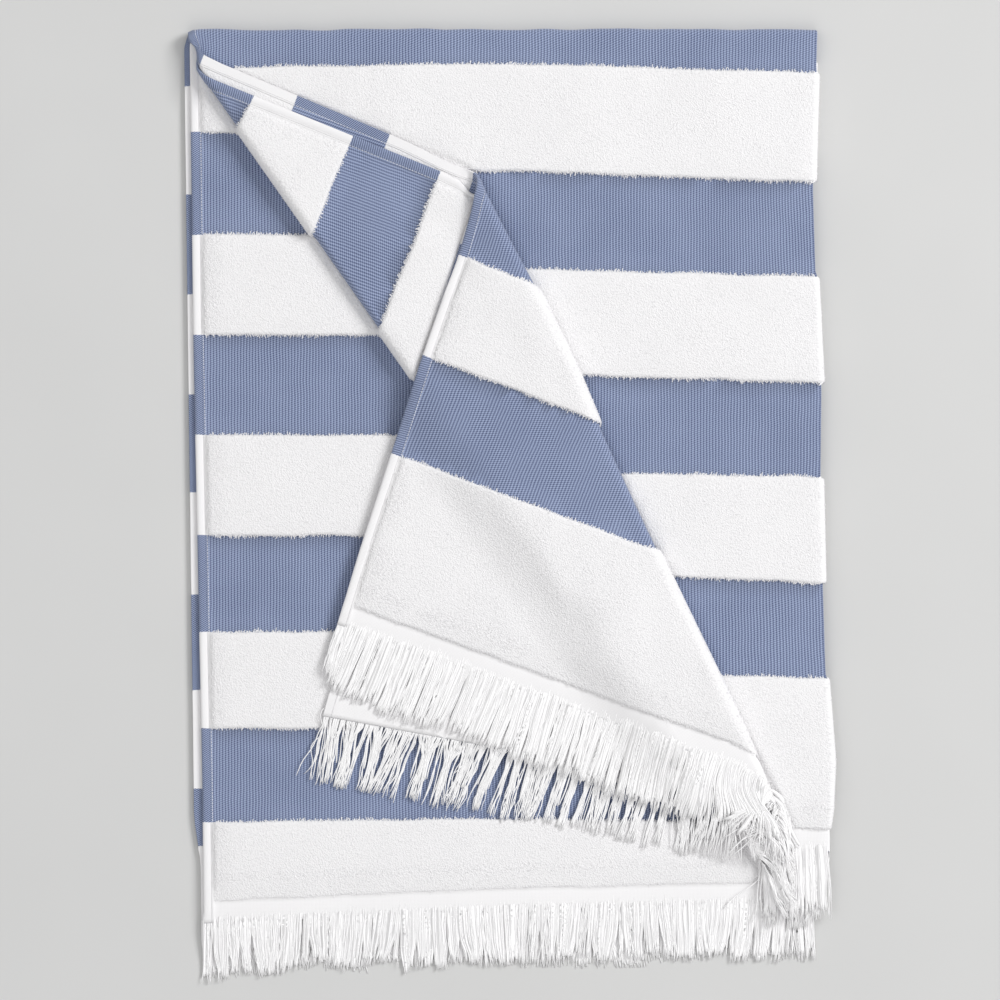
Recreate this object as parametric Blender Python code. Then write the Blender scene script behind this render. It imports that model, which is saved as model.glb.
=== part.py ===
"""A fringed beach towel with raised white terry stripes on a blue flat weave.

The towel lies folded in four: once lengthwise, at the right edge, and once across, at the top edge. The two
upper layers are then turned over at their left corner, along a slanting crease, and turned back again along
a second crease, so that their fringed end fans out to the left over the two lower layers.

The cloth is made flat, as a pattern whose cells follow the stripes and the fold lines. Every fold is a bend
of constant thickness about a level axis, so one function carries each flat point to its folded place.
Metres, +Z up. The stripes run along X, and the top fold is at +Y.
"""

import math

import bmesh
import bpy
import numpy as np

# Thicknesses and the space between two layers
CLOTH = 0.0014
GAP = 0.0008
PILE = 0.0032
PRESSED_PILE = 0.0011
FLOOR_PILE = 0.0024
HEM_RISE = 0.0009
YARN = 0.0012

# The half width of the hem's flat strip, the plain woven strip at each end, and the fringe beyond it
HEM = 0.008
PLAIN = 0.018
ROOT_STRIP = 0.0025
PARTING = 0.0006
UPPER_FRINGE = 0.052
LOWER_FRINGE = 0.045

# Middle heights of the layers, from the floor up. Backs lie closer than the fronts, which carry the pile
BACKS = CLOTH + GAP
FRONTS = 0.0044
LAYER_4 = FLOOR_PILE + CLOTH / 2
LAYER_3 = LAYER_4 + BACKS
LAYER_2 = LAYER_3 + FRONTS
LAYER_1 = LAYER_2 + BACKS
TURNED_1 = LAYER_1 + FRONTS
TURNED_2 = TURNED_1 + BACKS
BACK_2 = TURNED_2 + FRONTS
BACK_1 = BACK_2 + BACKS

# The right fold and the top fold, as seen from above
FOLD_X = 0.2450
TOP_Y = 0.3760
SIDE_RADIUS = BACKS / 2
SIDE_ARC = math.pi * SIDE_RADIUS / 2
TOP_AXIS = (LAYER_3 + LAYER_2) / 2
TOP_REACH = TOP_AXIS - LAYER_4 + CLOTH / 2
TOP_EASE = 0.012

# Half the towel's width where its edges cross the top fold, and 0.64 m further down
OUTER_HEM = 0.5075
INNER_HEM = 0.4985
HEM_RUN = 0.640
UPPER_OUTER_TAPER = -0.0332
UPPER_INNER_TAPER = -0.0249
LOWER_OUTER_TAPER = -0.0082
LOWER_INNER_TAPER = -0.0068

# First crease: where it leaves the outer hem, and its slope below the X axis
CREASE_1_START = (-0.2560, 0.3610)
CREASE_1_SLOPE = math.radians(54.9)
CREASE_1_AXIS = (LAYER_1 + TURNED_1) / 2

# Second crease: a point near its upper end, its slope, and how loosely it is rolled there
CREASE_2_START = (-0.0355, 0.2624)
CREASE_2_SLOPE = math.radians(64.06)
CREASE_2_AXIS = (TURNED_2 + BACK_2) / 2
ROLL = 0.0020
ROLL_LENGTH = 0.120
ROLL_EASE = 0.045

# The part turned back sways sideways, and comes down beside the first crease to lie on layer 3
BACK_SWAY = (
    # distance along the second crease, offset at the crease, at the upper layer's hem, at the lower one's
    (0.000, 0.0000, 0.0030, 0.0010),
    (0.060, 0.0020, 0.0015, 0.0010),
    (0.120, 0.0050, -0.0042, 0.0000),
    (0.180, 0.0050, -0.0070, -0.0010),
    (0.240, 0.0012, -0.0104, -0.0020),
    (0.300, 0.0000, -0.0122, -0.0026),
    (0.400, -0.0006, -0.0122, -0.0026),
    (0.640, -0.0006, -0.0122, -0.0026),
)
TURNED_LEAD = 0.030
BACK_WIDTH = 0.93
STEP_START = -0.004
STEP_LENGTH = 0.050
RESTING_2 = LAYER_3 + PILE + PRESSED_PILE + CLOTH + GAP
STEP_DOWN = BACK_2 - RESTING_2

# The turned layers' hem and the turned-back layers' hem, each a point and its slope below the X axis
TURNED_HEM = (-0.2560, 0.3610, math.radians(22.6))
BACK_HEM = (-0.0304, 0.2600, math.radians(107.0))

# How far beyond a covering layer's edge the pile begins to rise, and how soon it has risen
RISE_WIDTH = 0.009
RISE_WAYS = (0.0, RISE_WIDTH)
LAYER_3_RISE = 0.008
LAYER_1_RISE = 0.009
HEM_RISE_START = 0.001
TURNED_RISE = -0.004

# Where each stripe's edge crosses the towel, in metres from the top fold: positive on the upper two layers
STATION = 0.250
EDGES = (
    # stripe begins    outer hem  outer mid  right fold  inner mid  inner hem
    ("plain end", 0.6420, 0.6505, 0.6565, 0.6860, 0.7170),
    ("white 1", 0.6240, 0.6325, 0.6385, 0.6680, 0.6990),
    ("blue 2", 0.5010, 0.5100, 0.5190, 0.5380, 0.5580),
    ("white 3", 0.4205, 0.4320, 0.4420, 0.4600, 0.4760),
    ("blue 4", 0.3380, 0.3530, 0.3580, 0.3750, 0.3920),
    ("white 5", 0.2665, 0.2745, 0.2820, 0.3050, 0.3270),
    ("blue 6", 0.1930, 0.1915, 0.1980, 0.2400, 0.2450),
    ("white 7", 0.1120, 0.1110, 0.1220, 0.1600, 0.1690),
    ("blue 8", 0.0315, 0.0280, 0.0350, 0.0580, 0.0840),
    ("white 9", -0.0460, -0.0370, -0.0260, -0.0020, -0.0016),
    ("blue 10", -0.1320, -0.1200, -0.1060, -0.0830, -0.0816),
    ("white 11", -0.2120, -0.2000, -0.1860, -0.1645, -0.1640),
    ("blue 12", -0.2920, -0.2810, -0.2680, -0.2445, -0.2440),
    ("white 13", -0.3705, -0.3600, -0.3480, -0.3245, -0.3240),
    ("blue 14", -0.4510, -0.4400, -0.4280, -0.4045, -0.4040),
    ("white 15", -0.5280, -0.5170, -0.5050, -0.4815, -0.4816),
    ("blue 16", -0.6070, -0.5940, -0.5810, -0.5580, -0.5584),
    ("white 17", -0.6520, -0.6440, -0.6340, -0.6310, -0.6336),
    ("plain 17", -0.6940, -0.6860, -0.6800, -0.6860, -0.6965),
    ("plain end", -0.7120, -0.7040, -0.6980, -0.7040, -0.7145),
)
EDGE_RISE = 0.0008

# How far the right fold of each pair of layers stands from a straight line, down from the top fold
UPPER_FOLD_SWAY = (
    # distance, offset
    (0.000, -0.0013),
    (0.080, -0.0037),
    (0.128, -0.0049),
    (0.192, -0.0029),
    (0.288, 0.0019),
    (0.360, 0.0011),
    (0.448, 0.0031),
    (0.512, 0.0051),
    (0.584, 0.0107),
    (0.640, 0.0083),
    (0.708, 0.0111),
)
LOWER_FOLD_SWAY = (
    # distance, offset
    (0.000, -0.0013),
    (0.060, -0.0047),
    (0.128, -0.0085),
    (0.500, -0.0077),
    (0.640, -0.0057),
    (0.750, -0.0017),
)
FOLD_SWAY_WIDTH = 0.120

# Heights that the bare yarns settle to beyond the cloth, where no pile keeps the layers apart
LEVELS = (LAYER_4, LAYER_3, LAYER_2, LAYER_1, TURNED_1, TURNED_2, BACK_2, BACK_1)
YARN_PITCH = 0.0017
ON_CLOTH = LAYER_3 + CLOTH / 2 + PILE + YARN / 2 + PARTING
ON_PRESSED = LAYER_3 + CLOTH / 2 + PRESSED_PILE + YARN / 2 + PARTING
ON_FLOOR = YARN / 2
SETTLE = 0.035
UPPER_END = (0.2000, -0.3000, 0.0)
BACK_END = (-0.1440, -0.1760, math.radians(14.0))
LOWER_END = (-0.2500, -0.3390, math.radians(-1.9))

# Fringe locks
LOCKS = 96
LOCK_SHARE = 0.70
LOCK_STEPS = (0.30, 0.66, 1.0)
TIP_SHARE = 0.62
LOCK_SEED = 7

# Where the cloth is scored for its bends, as shares of each bend's arc
OUTER_BEND = (0.0, 0.2, 0.4, 0.6, 0.8, 1.0)
INNER_BEND = (0.0, 0.25, 0.5, 0.75, 1.0)
TOP_SCORES = (-0.0059, -0.0040, -0.0020, 0.0, 0.0020, 0.0040, 0.0059)
STEP_SCORES = 8
SNAP = 1e-5

WHITE = (0.86, 0.86, 0.87, 1.0)
BLUE = (0.17, 0.24, 0.43, 1.0)


def clear_scene():
    """Remove every object that the scene holds."""
    for obj in list(bpy.data.objects):
        bpy.data.objects.remove(obj, do_unlink=True)


def smooth_step(value):
    """Ease from 0 to 1: three times the square less twice the cube."""
    share = np.clip(value, 0.0, 1.0)
    return share * share * (3.0 - 2.0 * share)


def hem_width(side, along):
    """Half the flat towel's width on the outer (side < 0) or inner strip, at a distance from the top fold."""
    run = np.abs(along) / HEM_RUN
    outer = OUTER_HEM + np.where(along > 0, UPPER_OUTER_TAPER, LOWER_OUTER_TAPER) * run
    inner = INNER_HEM + np.where(along > 0, UPPER_INNER_TAPER, LOWER_INNER_TAPER) * run
    return np.where(side < 0, outer, inner)


def edge_at(edge, across):
    """Distance of one stripe edge from the top fold, straight between the five stations of its row."""
    row = EDGES[edge][1:]
    hem_out = hem_width(-1, row[0])
    hem_in = hem_width(1, row[4])
    return np.interp(across, (-hem_out, -STATION, 0.0, STATION, hem_in), row)


def bend_side_fold(across, offset):
    """Lay the inner strip over the outer one: x from the fold's axis, height, middle height."""
    angle = np.clip(across / SIDE_RADIUS + math.pi / 2, 0.0, math.pi)
    reach = SIDE_RADIUS + offset
    past = np.maximum(np.abs(across) - SIDE_ARC, 0.0)
    x = reach * np.sin(angle) - past
    return x, SIDE_RADIUS - reach * np.cos(angle), SIDE_RADIUS * (1.0 - np.cos(angle))


def bend_top_fold(along, height, middle):
    """Lay the upper pair over the lower one: y from the fold's axis, height, middle height, angle."""
    axis = TOP_AXIS - LAYER_4
    radius = axis - middle
    spare = math.pi * radius / 2 - TOP_REACH
    run = along + spare * np.clip(along / TOP_EASE, -1.0, 1.0)
    angle = np.clip(run / radius + math.pi / 2, 0.0, math.pi)
    past = np.maximum(np.abs(run) - math.pi * radius / 2, 0.0)
    y = (axis - height) * np.sin(angle) - past
    return y, axis - (axis - height) * np.cos(angle), axis - radius * np.cos(angle), angle


def turn_over(place, middle, start, slope, side, axis, active):
    """Bend what lies past a slanting crease up and back over itself.

    With s the distance past the crease line, a point bends through s over the radius, up to half a turn,
    and past that it runs back the way it came. Side is -1 for cloth left of the crease, and 1 for right.
    """
    x, y, z = place
    run = (math.cos(slope), -math.sin(slope))
    out = (side * math.sin(slope), side * math.cos(slope))
    s = (x - start[0]) * out[0] + (y - start[1]) * out[1]
    t = (x - start[0]) * run[0] + (y - start[1]) * run[1]
    radius = axis - middle
    angle = np.where(active, np.clip(s / radius, 0.0, math.pi), 0.0)
    past = np.maximum(s - math.pi * radius, 0.0)
    reach = np.where(angle > 0, (axis - z) * np.sin(angle) - past, s)
    turned_z = axis - (axis - z) * np.cos(angle)
    turned_middle = axis - radius * np.cos(angle)
    bent = angle > 0
    x = np.where(bent, start[0] + t * run[0] + reach * out[0], x)
    y = np.where(bent, start[1] + t * run[1] + reach * out[1], y)
    return (x, y, np.where(bent, turned_z, z)), np.where(bent, turned_middle, middle), angle, s, t, past


def beyond(line, x, y):
    """Distance of a point to the left of (or below) a line given as x, y and its slope below the X axis."""
    return -(x - line[0]) * math.sin(line[2]) - (y - line[1]) * math.cos(line[2])


def table_value(table, distance, column=1):
    """Straight interpolation in a column of a table, by its first column."""
    return np.interp(distance, [row[0] for row in table], [row[column] for row in table])


def settle(x, y, z, middle, turned_back, fallen):
    """Let the yarns beyond the cloth's ends sink to the height at which they rest on one another."""
    on_cloth = LEVELS[:2] + tuple(ON_PRESSED + YARN_PITCH * k for k in range(6))
    on_floor = tuple(ON_FLOOR + YARN_PITCH * k for k in range(8))
    past_upper = np.where(turned_back, 0.0, smooth_step(beyond(UPPER_END, x, y) / SETTLE))
    past_lower = smooth_step(beyond(LOWER_END, x, y) / SETTLE)
    lowered = middle + past_upper * (np.interp(middle, LEVELS, on_cloth) - middle)
    lowered = lowered + past_lower * (np.interp(middle, LEVELS, on_floor) - lowered)
    past_back = fallen * smooth_step(beyond(BACK_END, x, y) / SETTLE)
    drop = np.interp(middle, LEVELS[6:], (RESTING_2 - ON_CLOTH, RESTING_2 + BACKS - ON_CLOTH - YARN_PITCH))
    return z - middle + lowered - np.where(turned_back, past_back * drop, 0.0)


def fold(across, along, offset):
    """Carry flat points to their folded place.

    Args: across, distance from the right fold, negative on the outer strip; along, distance from the top
    fold, positive on the upper pair; offset, distance from the cloth's middle towards its front.
    Returns: the points, and what the pile needs to know about each.
    """
    x, z, middle = bend_side_fold(across, offset)
    y, z, middle, top_angle = bend_top_fold(along, z, middle)
    place = (x + FOLD_X, y + TOP_Y - TOP_REACH, z + LAYER_4)
    middle = middle + LAYER_4
    upper = top_angle >= math.pi
    place, middle, angle_1, s_1, _, _ = turn_over(
        place, middle, CREASE_1_START, CREASE_1_SLOPE, -1, CREASE_1_AXIS, upper
    )
    turned = angle_1 >= math.pi
    run = (place[0] - CREASE_2_START[0]) * math.cos(CREASE_2_SLOPE)
    run = run - (place[1] - CREASE_2_START[1]) * math.sin(CREASE_2_SLOPE)
    roll = ROLL * np.exp(-np.maximum(run, 0.0) / ROLL_LENGTH)
    place, middle, angle_2, s_2, t_2, past_2 = turn_over(
        place, middle, CREASE_2_START, CREASE_2_SLOPE, 1, CREASE_2_AXIS + roll, turned
    )
    x, y, z = place
    seen = (x, y)
    back = np.where(angle_2 > 0, smooth_step(angle_2 * 2 / math.pi), 0.0)
    eased = np.where(angle_2 >= math.pi, 2 * roll * smooth_step(past_2 / ROLL_EASE), 0.0)
    at_crease = table_value(BACK_SWAY, t_2)
    at_hem = np.where(across < 0, table_value(BACK_SWAY, t_2, 2), table_value(BACK_SWAY, t_2, 3))
    share = np.clip(past_2 / (BACK_WIDTH * np.maximum(t_2, 0.01)), 0.0, 1.0)
    lead = np.where(turned, smooth_step(1.0 + s_2 / TURNED_LEAD), 0.0)
    x = x + lead * (at_crease + (at_hem - at_crease) * share)
    crease_1 = (*CREASE_1_START, CREASE_1_SLOPE)
    left = beyond(crease_1, x, y)
    fallen = back * smooth_step((left - STEP_START) / STEP_LENGTH)
    down = TOP_Y - y
    sway = np.where(upper, table_value(UPPER_FOLD_SWAY, down), table_value(LOWER_FOLD_SWAY, down))
    sway = np.where(
        (top_angle > 0) & (top_angle < math.pi), table_value(UPPER_FOLD_SWAY, down), sway
    )
    x = x + sway * smooth_step(1.0 - np.abs(across) / FOLD_SWAY_WIDTH)
    z = settle(x, y, z, middle, angle_2 >= math.pi, fallen)
    z = z - eased * (1.0 - fallen) - fallen * STEP_DOWN
    state = {
        "x": seen[0], "y": seen[1], "left": left, "angle_1": angle_1, "angle_2": angle_2, "s_2": s_2,
        "upper": upper, "outer": across < 0, "inside": upper & (angle_1 == 0),
    }
    return np.stack([x, y, z], axis=-1), state


def terry_share(across, along):
    """1 on a white stripe, 0 on blue and on the plain ends, with a short slope at each edge."""
    share = np.zeros_like(across)
    for edge in range(1, len(EDGES) - 2, 2):
        far = (edge_at(edge, across) - along) / EDGE_RISE + 0.5
        near = (along - edge_at(edge + 1, across)) / EDGE_RISE + 0.5
        share = np.maximum(share, np.clip(far, 0, 1) * np.clip(near, 0, 1))
    return share


def front_height(across, along):
    """Distance of the cloth's front from its middle: terry stands up where nothing presses on it."""
    _, state = fold(across, along, np.zeros_like(across))
    x, y = state["x"], state["y"]
    open_3 = smooth_step((state["left"] - LAYER_3_RISE) / RISE_WIDTH)
    past_hem = -beyond(TURNED_HEM, x, y) - HEM_RISE_START
    past_roll = -beyond((*CREASE_2_START, CREASE_2_SLOPE), x, y) - LAYER_1_RISE
    open_1 = smooth_step(np.maximum(past_hem, past_roll) / RISE_WIDTH)
    open_2 = smooth_step((beyond(BACK_HEM, x, y) - TURNED_RISE) / RISE_WIDTH)
    rise_1 = smooth_step((state["angle_1"] - 0.35) / 1.5)
    rise_2 = smooth_step((state["angle_2"] - 0.35) / 1.5)
    lower = np.where(state["outer"], (FLOOR_PILE - PRESSED_PILE) / (PILE - PRESSED_PILE), open_3)
    layer_1 = np.where(state["angle_1"] > 0, rise_2, open_1)
    layer_2 = np.where(state["angle_2"] > 0, 0.0, rise_1 * open_2)
    upper = np.where(state["outer"], layer_1, layer_2)
    share = np.where(state["upper"], upper, lower)
    pile = (PRESSED_PILE + share * (PILE - PRESSED_PILE)) * terry_share(across, along)
    from_hem = hem_width(across, along) - np.abs(across)
    on_hem = np.clip((HEM + EDGE_RISE - from_hem) / EDGE_RISE, 0.0, 1.0)
    return CLOTH / 2 + pile + on_hem * (HEM_RISE - pile)


def unfold(x, y, layer, turned_back=False):
    """The flat point of a layer that lies at a place seen from above, beyond the arcs of its bends."""
    if turned_back:
        radius = CREASE_2_AXIS - (TURNED_1 if layer == 1 else TURNED_2)
        x, y = mirror_place(x, y, (*CREASE_2_START, CREASE_2_SLOPE), 1, radius)
        radius = CREASE_1_AXIS - (LAYER_1 if layer == 1 else LAYER_2)
        x, y = mirror_place(x, y, (*CREASE_1_START, CREASE_1_SLOPE), -1, radius)
    away = FOLD_X - x + SIDE_ARC
    return (-away if layer == 1 else away), (y - TOP_Y if layer == 3 else TOP_Y - y)


def mirror_place(x, y, line, side, radius):
    """Turn a place back over a crease, adding the arc that the bend took."""
    run = (math.cos(line[2]), -math.sin(line[2]))
    out = (side * math.sin(line[2]), side * math.cos(line[2]))
    t = (x - line[0]) * run[0] + (y - line[1]) * run[1]
    s = (x - line[0]) * out[0] + (y - line[1]) * out[1]
    s = math.pi * radius - s
    return line[0] + t * run[0] + s * out[0], line[1] + t * run[1] + s * out[1]


def line_places(line, distance, side, length=0.6):
    """Two places on the line that runs beside a crease line, a distance to its side."""
    out = (side * math.sin(line[2]), side * math.cos(line[2]))
    first = (line[0] + distance * out[0], line[1] + distance * out[1])
    return first, (first[0] + length * math.cos(line[2]), first[1] - length * math.sin(line[2]))


def score(bm, start, end, side, way=1):
    """Cut a straight line through two flat points across one strip of the upper (way 1) or lower pair."""
    faces = [
        face for face in bm.faces
        if face.calc_center_median().x * side > 0 and face.calc_center_median().y * way > TOP_SCORES[-1]
    ]
    edges = list({edge for face in faces for edge in face.edges})
    verts = list({vert for face in faces for vert in face.verts})
    normal = (start[1] - end[1], end[0] - start[0], 0.0)
    bmesh.ops.bisect_plane(
        bm, geom=faces + edges + verts, dist=SNAP, plane_co=(*start, 0.0), plane_no=normal
    )


def score_covers(bm):
    """Score the layers where the pile rises from under the one that covers it."""
    crease_1 = (*CREASE_1_START, CREASE_1_SLOPE)
    crease_2 = (*CREASE_2_START, CREASE_2_SLOPE)
    for way in RISE_WAYS:
        start, end = line_places(crease_1, LAYER_3_RISE + way, -1)
        score(bm, unfold(*start, 3), unfold(*end, 3), 1, -1)
        start, end = line_places(crease_2, LAYER_1_RISE + way, 1)
        score(bm, unfold(*start, 1), unfold(*end, 1), -1)
        start, end = line_places(TURNED_HEM, HEM_RISE_START + way, 1)
        score(bm, unfold(*start, 1), unfold(*end, 1), -1)
        places = line_places(BACK_HEM, TURNED_RISE + way, -1)
        radius = CREASE_1_AXIS - LAYER_2
        flat = [unfold(*mirror_place(*place, crease_1, -1, radius), 2) for place in places]
        score(bm, flat[0], flat[1], 1)


def score_bends(bm):
    """Score both strips of the upper pair along the two creases, and where the part turned back changes."""
    crease_1 = (*CREASE_1_START, CREASE_1_SLOPE)
    crease_2 = (*CREASE_2_START, CREASE_2_SLOPE)
    across_2 = (*CREASE_2_START, CREASE_2_SLOPE - math.pi / 2)
    for layer, side, bends in ((1, -1, (INNER_BEND, OUTER_BEND)), (2, 1, (OUTER_BEND, INNER_BEND))):
        arc = math.pi * (CREASE_1_AXIS - (LAYER_1 if layer == 1 else LAYER_2))
        for share in bends[0]:
            start, end = line_places(crease_1, share * arc, -1)
            score(bm, unfold(*start, layer), unfold(*end, layer), side)
        arc_2 = math.pi * (CREASE_2_AXIS - (TURNED_1 if layer == 1 else TURNED_2))
        radius = arc / math.pi
        runs = [share * (arc_2 + math.pi * ROLL / 2) for share in bends[1]]
        runs += [arc_2 + math.pi * ROLL]
        for run in runs:
            places = line_places(crease_2, run, 1)
            flat = [unfold(*mirror_place(*place, crease_1, -1, radius), layer) for place in places]
            score(bm, flat[0], flat[1], side)
        for distance, *_ in BACK_SWAY[1:-1]:
            places = line_places(across_2, distance, -1)
            flat = [unfold(*mirror_place(*place, crease_1, -1, radius), layer) for place in places]
            score(bm, flat[0], flat[1], side)
        for share in np.linspace(0.0, 1.0, STEP_SCORES):
            places = line_places(crease_1, STEP_START + share * STEP_LENGTH, -1)
            flat = [unfold(*place, layer, turned_back=True) for place in places]
            score(bm, flat[0], flat[1], side)
        for share in (0.5, 1.0):
            places = line_places(crease_2, -share * ROLL_EASE, 1)
            flat = [unfold(*place, layer, turned_back=True) for place in places]
            score(bm, flat[0], flat[1], side)


def score_folds(bm):
    """Score the whole sheet along the right fold and the top fold."""
    for share in OUTER_BEND:
        everything = bm.faces[:] + bm.edges[:] + bm.verts[:]
        at = ((2 * share - 1) * SIDE_ARC, 0.0, 0.0)
        bmesh.ops.bisect_plane(bm, geom=everything, dist=SNAP, plane_co=at, plane_no=(1.0, 0.0, 0.0))
    for along in TOP_SCORES:
        everything = bm.faces[:] + bm.edges[:] + bm.verts[:]
        at = (0.0, along, 0.0)
        bmesh.ops.bisect_plane(bm, geom=everything, dist=SNAP, plane_co=at, plane_no=(0.0, 1.0, 0.0))


def thicken(bm):
    """Give the flat sheet a back (z = 0) and a front (z = 1)."""
    made = bmesh.ops.extrude_face_region(bm, geom=bm.faces[:])
    raised = [item for item in made["geom"] if isinstance(item, bmesh.types.BMVert)]
    bmesh.ops.translate(bm, vec=(0.0, 0.0, 1.0), verts=raised)


def fold_mesh(bm, name, front, back):
    """Fold a thickened flat sheet and return its mesh."""
    bmesh.ops.triangulate(bm, faces=bm.faces[:])
    mesh = bpy.data.meshes.new(name)
    bm.to_mesh(mesh)
    bm.free()
    flat = np.empty(len(mesh.vertices) * 3)
    mesh.vertices.foreach_get("co", flat)
    across, along, face = flat.reshape(-1, 3).T
    offset = np.where(face > 0.5, front(across, along), back)
    points, _ = fold(across, along, offset)
    mesh.vertices.foreach_set("co", points.ravel())
    mesh.update()
    return mesh


def recalculate_normals(mesh):
    """Point every face outwards."""
    bm = bmesh.new()
    bm.from_mesh(mesh)
    bmesh.ops.recalc_face_normals(bm, faces=bm.faces[:])
    bm.to_mesh(mesh)
    bm.free()


def cloth_pattern():
    """The flat towel as a grid: columns at the hems and stations, rows on both sides of each stripe edge."""
    inset = (0.0, HEM, HEM + EDGE_RISE)
    columns = 2 * len(inset) + 3
    rows = []
    for edge in range(len(EDGES)):
        ends = edge in (0, len(EDGES) - 1)
        rows += [(edge, 0.0)] if ends else [(edge, EDGE_RISE / 2), (edge, -EDGE_RISE / 2)]
    bm = bmesh.new()
    bmesh.ops.create_grid(bm, x_segments=columns - 1, y_segments=len(rows) - 1, size=1.0)
    for vert in bm.verts:
        column = round((vert.co.x + 1) / 2 * (columns - 1))
        edge, shift = rows[round((1 - vert.co.y) / 2 * (len(rows) - 1))]
        outer = hem_width(-1, EDGES[edge][1])
        inner = hem_width(1, EDGES[edge][5])
        stations = [-(outer - way) for way in inset] + [-STATION, 0.0, STATION]
        stations += [inner - way for way in reversed(inset)]
        vert.co.x = stations[column]
        vert.co.y = float(edge_at(edge, vert.co.x)) + shift
    return bm


def make_cloth(materials):
    """The whole towel but for its fringes, as one folded solid."""
    bm = cloth_pattern()
    score_folds(bm)
    score_bends(bm)
    score_covers(bm)
    thicken(bm)
    mesh = fold_mesh(bm, "cloth", front_height, -CLOTH / 2)
    recalculate_normals(mesh)
    for material in materials:
        mesh.materials.append(material)
    return mesh


def fringe_pattern(edge, length, rng):
    """A narrow strip along one end, with a comb of tapering locks on its outer side, all flat."""
    way = 1.0 if edge == 0 else -1.0
    outer = float(hem_width(-1, EDGES[edge][1]))
    inner = float(hem_width(1, EDGES[edge][5]))
    pitch = (outer + inner) / LOCKS
    rows = 2 + len(LOCK_STEPS)
    bm = bmesh.new()
    bmesh.ops.create_grid(bm, x_segments=2 * LOCKS - 1, y_segments=rows - 1, size=1.0)
    lengths = length * rng.uniform(0.86, 1.04, LOCKS)
    leans = rng.uniform(-0.0016, 0.0016, LOCKS)
    spare = []
    for face in bm.faces:
        centre = face.calc_center_median()
        column = int((centre.x + 1) / 2 * (2 * LOCKS - 1))
        if column % 2 and centre.y < 1 - 2 / (rows - 1):
            spare.append(face)
    bmesh.ops.delete(bm, geom=spare, context="FACES")
    for vert in bm.verts:
        line = round((vert.co.x + 1) / 2 * (2 * LOCKS - 1))
        row = round((1 - vert.co.y) / 2 * (rows - 1))
        lock, half = line // 2, (line % 2) * 2 - 1
        centre = -outer + (lock + 0.5) * pitch
        if lock == 0 and half < 0:
            edge_side = 0.5
        elif lock == LOCKS - 1 and half > 0:
            edge_side = 0.5
        else:
            edge_side = LOCK_SHARE / 2
        share = 0.0 if row < 2 else LOCK_STEPS[row - 2]
        narrow = 1.0 - (1.0 - TIP_SHARE) * share
        x = centre + half * edge_side * pitch * narrow + leans[lock] * share
        root = float(edge_at(edge, np.clip(x, -outer, inner)))
        reach = PARTING + (ROOT_STRIP if row else 0.0) + share * lengths[lock]
        vert.co.x = x
        vert.co.y = root + way * reach
    return bm


def make_fringe(name, edge, length, material, rng):
    """The fringe of one end of the towel, folded with the cloth."""
    bm = fringe_pattern(edge, length, rng)
    score_folds(bm)
    if edge == 0:
        score_bends(bm)
    thicken(bm)
    mesh = fold_mesh(bm, name, lambda across, along: np.full_like(across, YARN / 2), -YARN / 2)
    recalculate_normals(mesh)
    mesh.materials.append(material)
    return mesh


def make_material(name, colour, roughness):
    """A plain cloth finish."""
    material = bpy.data.materials.new(name)
    material.use_nodes = True
    shader = material.node_tree.nodes["Principled BSDF"]
    shader.inputs["Base Color"].default_value = colour
    shader.inputs["Roughness"].default_value = roughness
    shader.inputs["Metallic"].default_value = 0.0
    return material


def centre_on_floor(objects):
    """Move every mesh so that the object's box stands centred on the origin."""
    lows = []
    highs = []
    for obj in objects:
        points = np.empty(len(obj.data.vertices) * 3)
        obj.data.vertices.foreach_get("co", points)
        lows.append(points.reshape(-1, 3).min(axis=0))
        highs.append(points.reshape(-1, 3).max(axis=0))
    low = np.min(lows, axis=0)
    high = np.max(highs, axis=0)
    shift = -np.array([(low[0] + high[0]) / 2, (low[1] + high[1]) / 2, low[2]])
    for obj in objects:
        points = np.empty(len(obj.data.vertices) * 3)
        obj.data.vertices.foreach_get("co", points)
        obj.data.vertices.foreach_set("co", (points.reshape(-1, 3) + shift).ravel())
        obj.data.update()


def main():
    """Build the towel."""
    clear_scene()
    collection = bpy.data.collections.new("beach_towel")
    bpy.context.scene.collection.children.link(collection)
    blue = make_material("blue_weave", BLUE, 0.9)
    white = make_material("white_terry", WHITE, 0.95)
    rng = np.random.default_rng(LOCK_SEED)
    meshes = (
        ("cloth", make_cloth((white, blue))),
        ("fringe_upper_end", make_fringe("fringe_upper_end", 0, UPPER_FRINGE, white, rng)),
        ("fringe_lower_end", make_fringe("fringe_lower_end", len(EDGES) - 1, LOWER_FRINGE, white, rng)),
    )
    objects = []
    for name, mesh in meshes:
        obj = bpy.data.objects.new(name, mesh)
        collection.objects.link(obj)
        objects.append(obj)
    centre_on_floor(objects)


main()
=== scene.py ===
"""A fringed beach towel, dressed: white terry stripes on a blue ribbed weave, folded in four.

The cloth is worked out flat, as a grid of points over the towel that follows its stripes. Straight scores cut
it along every bend, and one function then carries each flat point, with its distance from the cloth's middle,
to its folded place. Loops, yarns and stitches are laid out in the same flat coordinates, so they lie on the
folds.

Across is the distance from the right fold, negative on the outer strip. Along is the distance from the top
fold, positive on the upper two layers. Metres, +Z up.
"""

from __future__ import annotations

import logging
import math
from dataclasses import dataclass, field
from enum import Enum
from functools import cached_property

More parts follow.
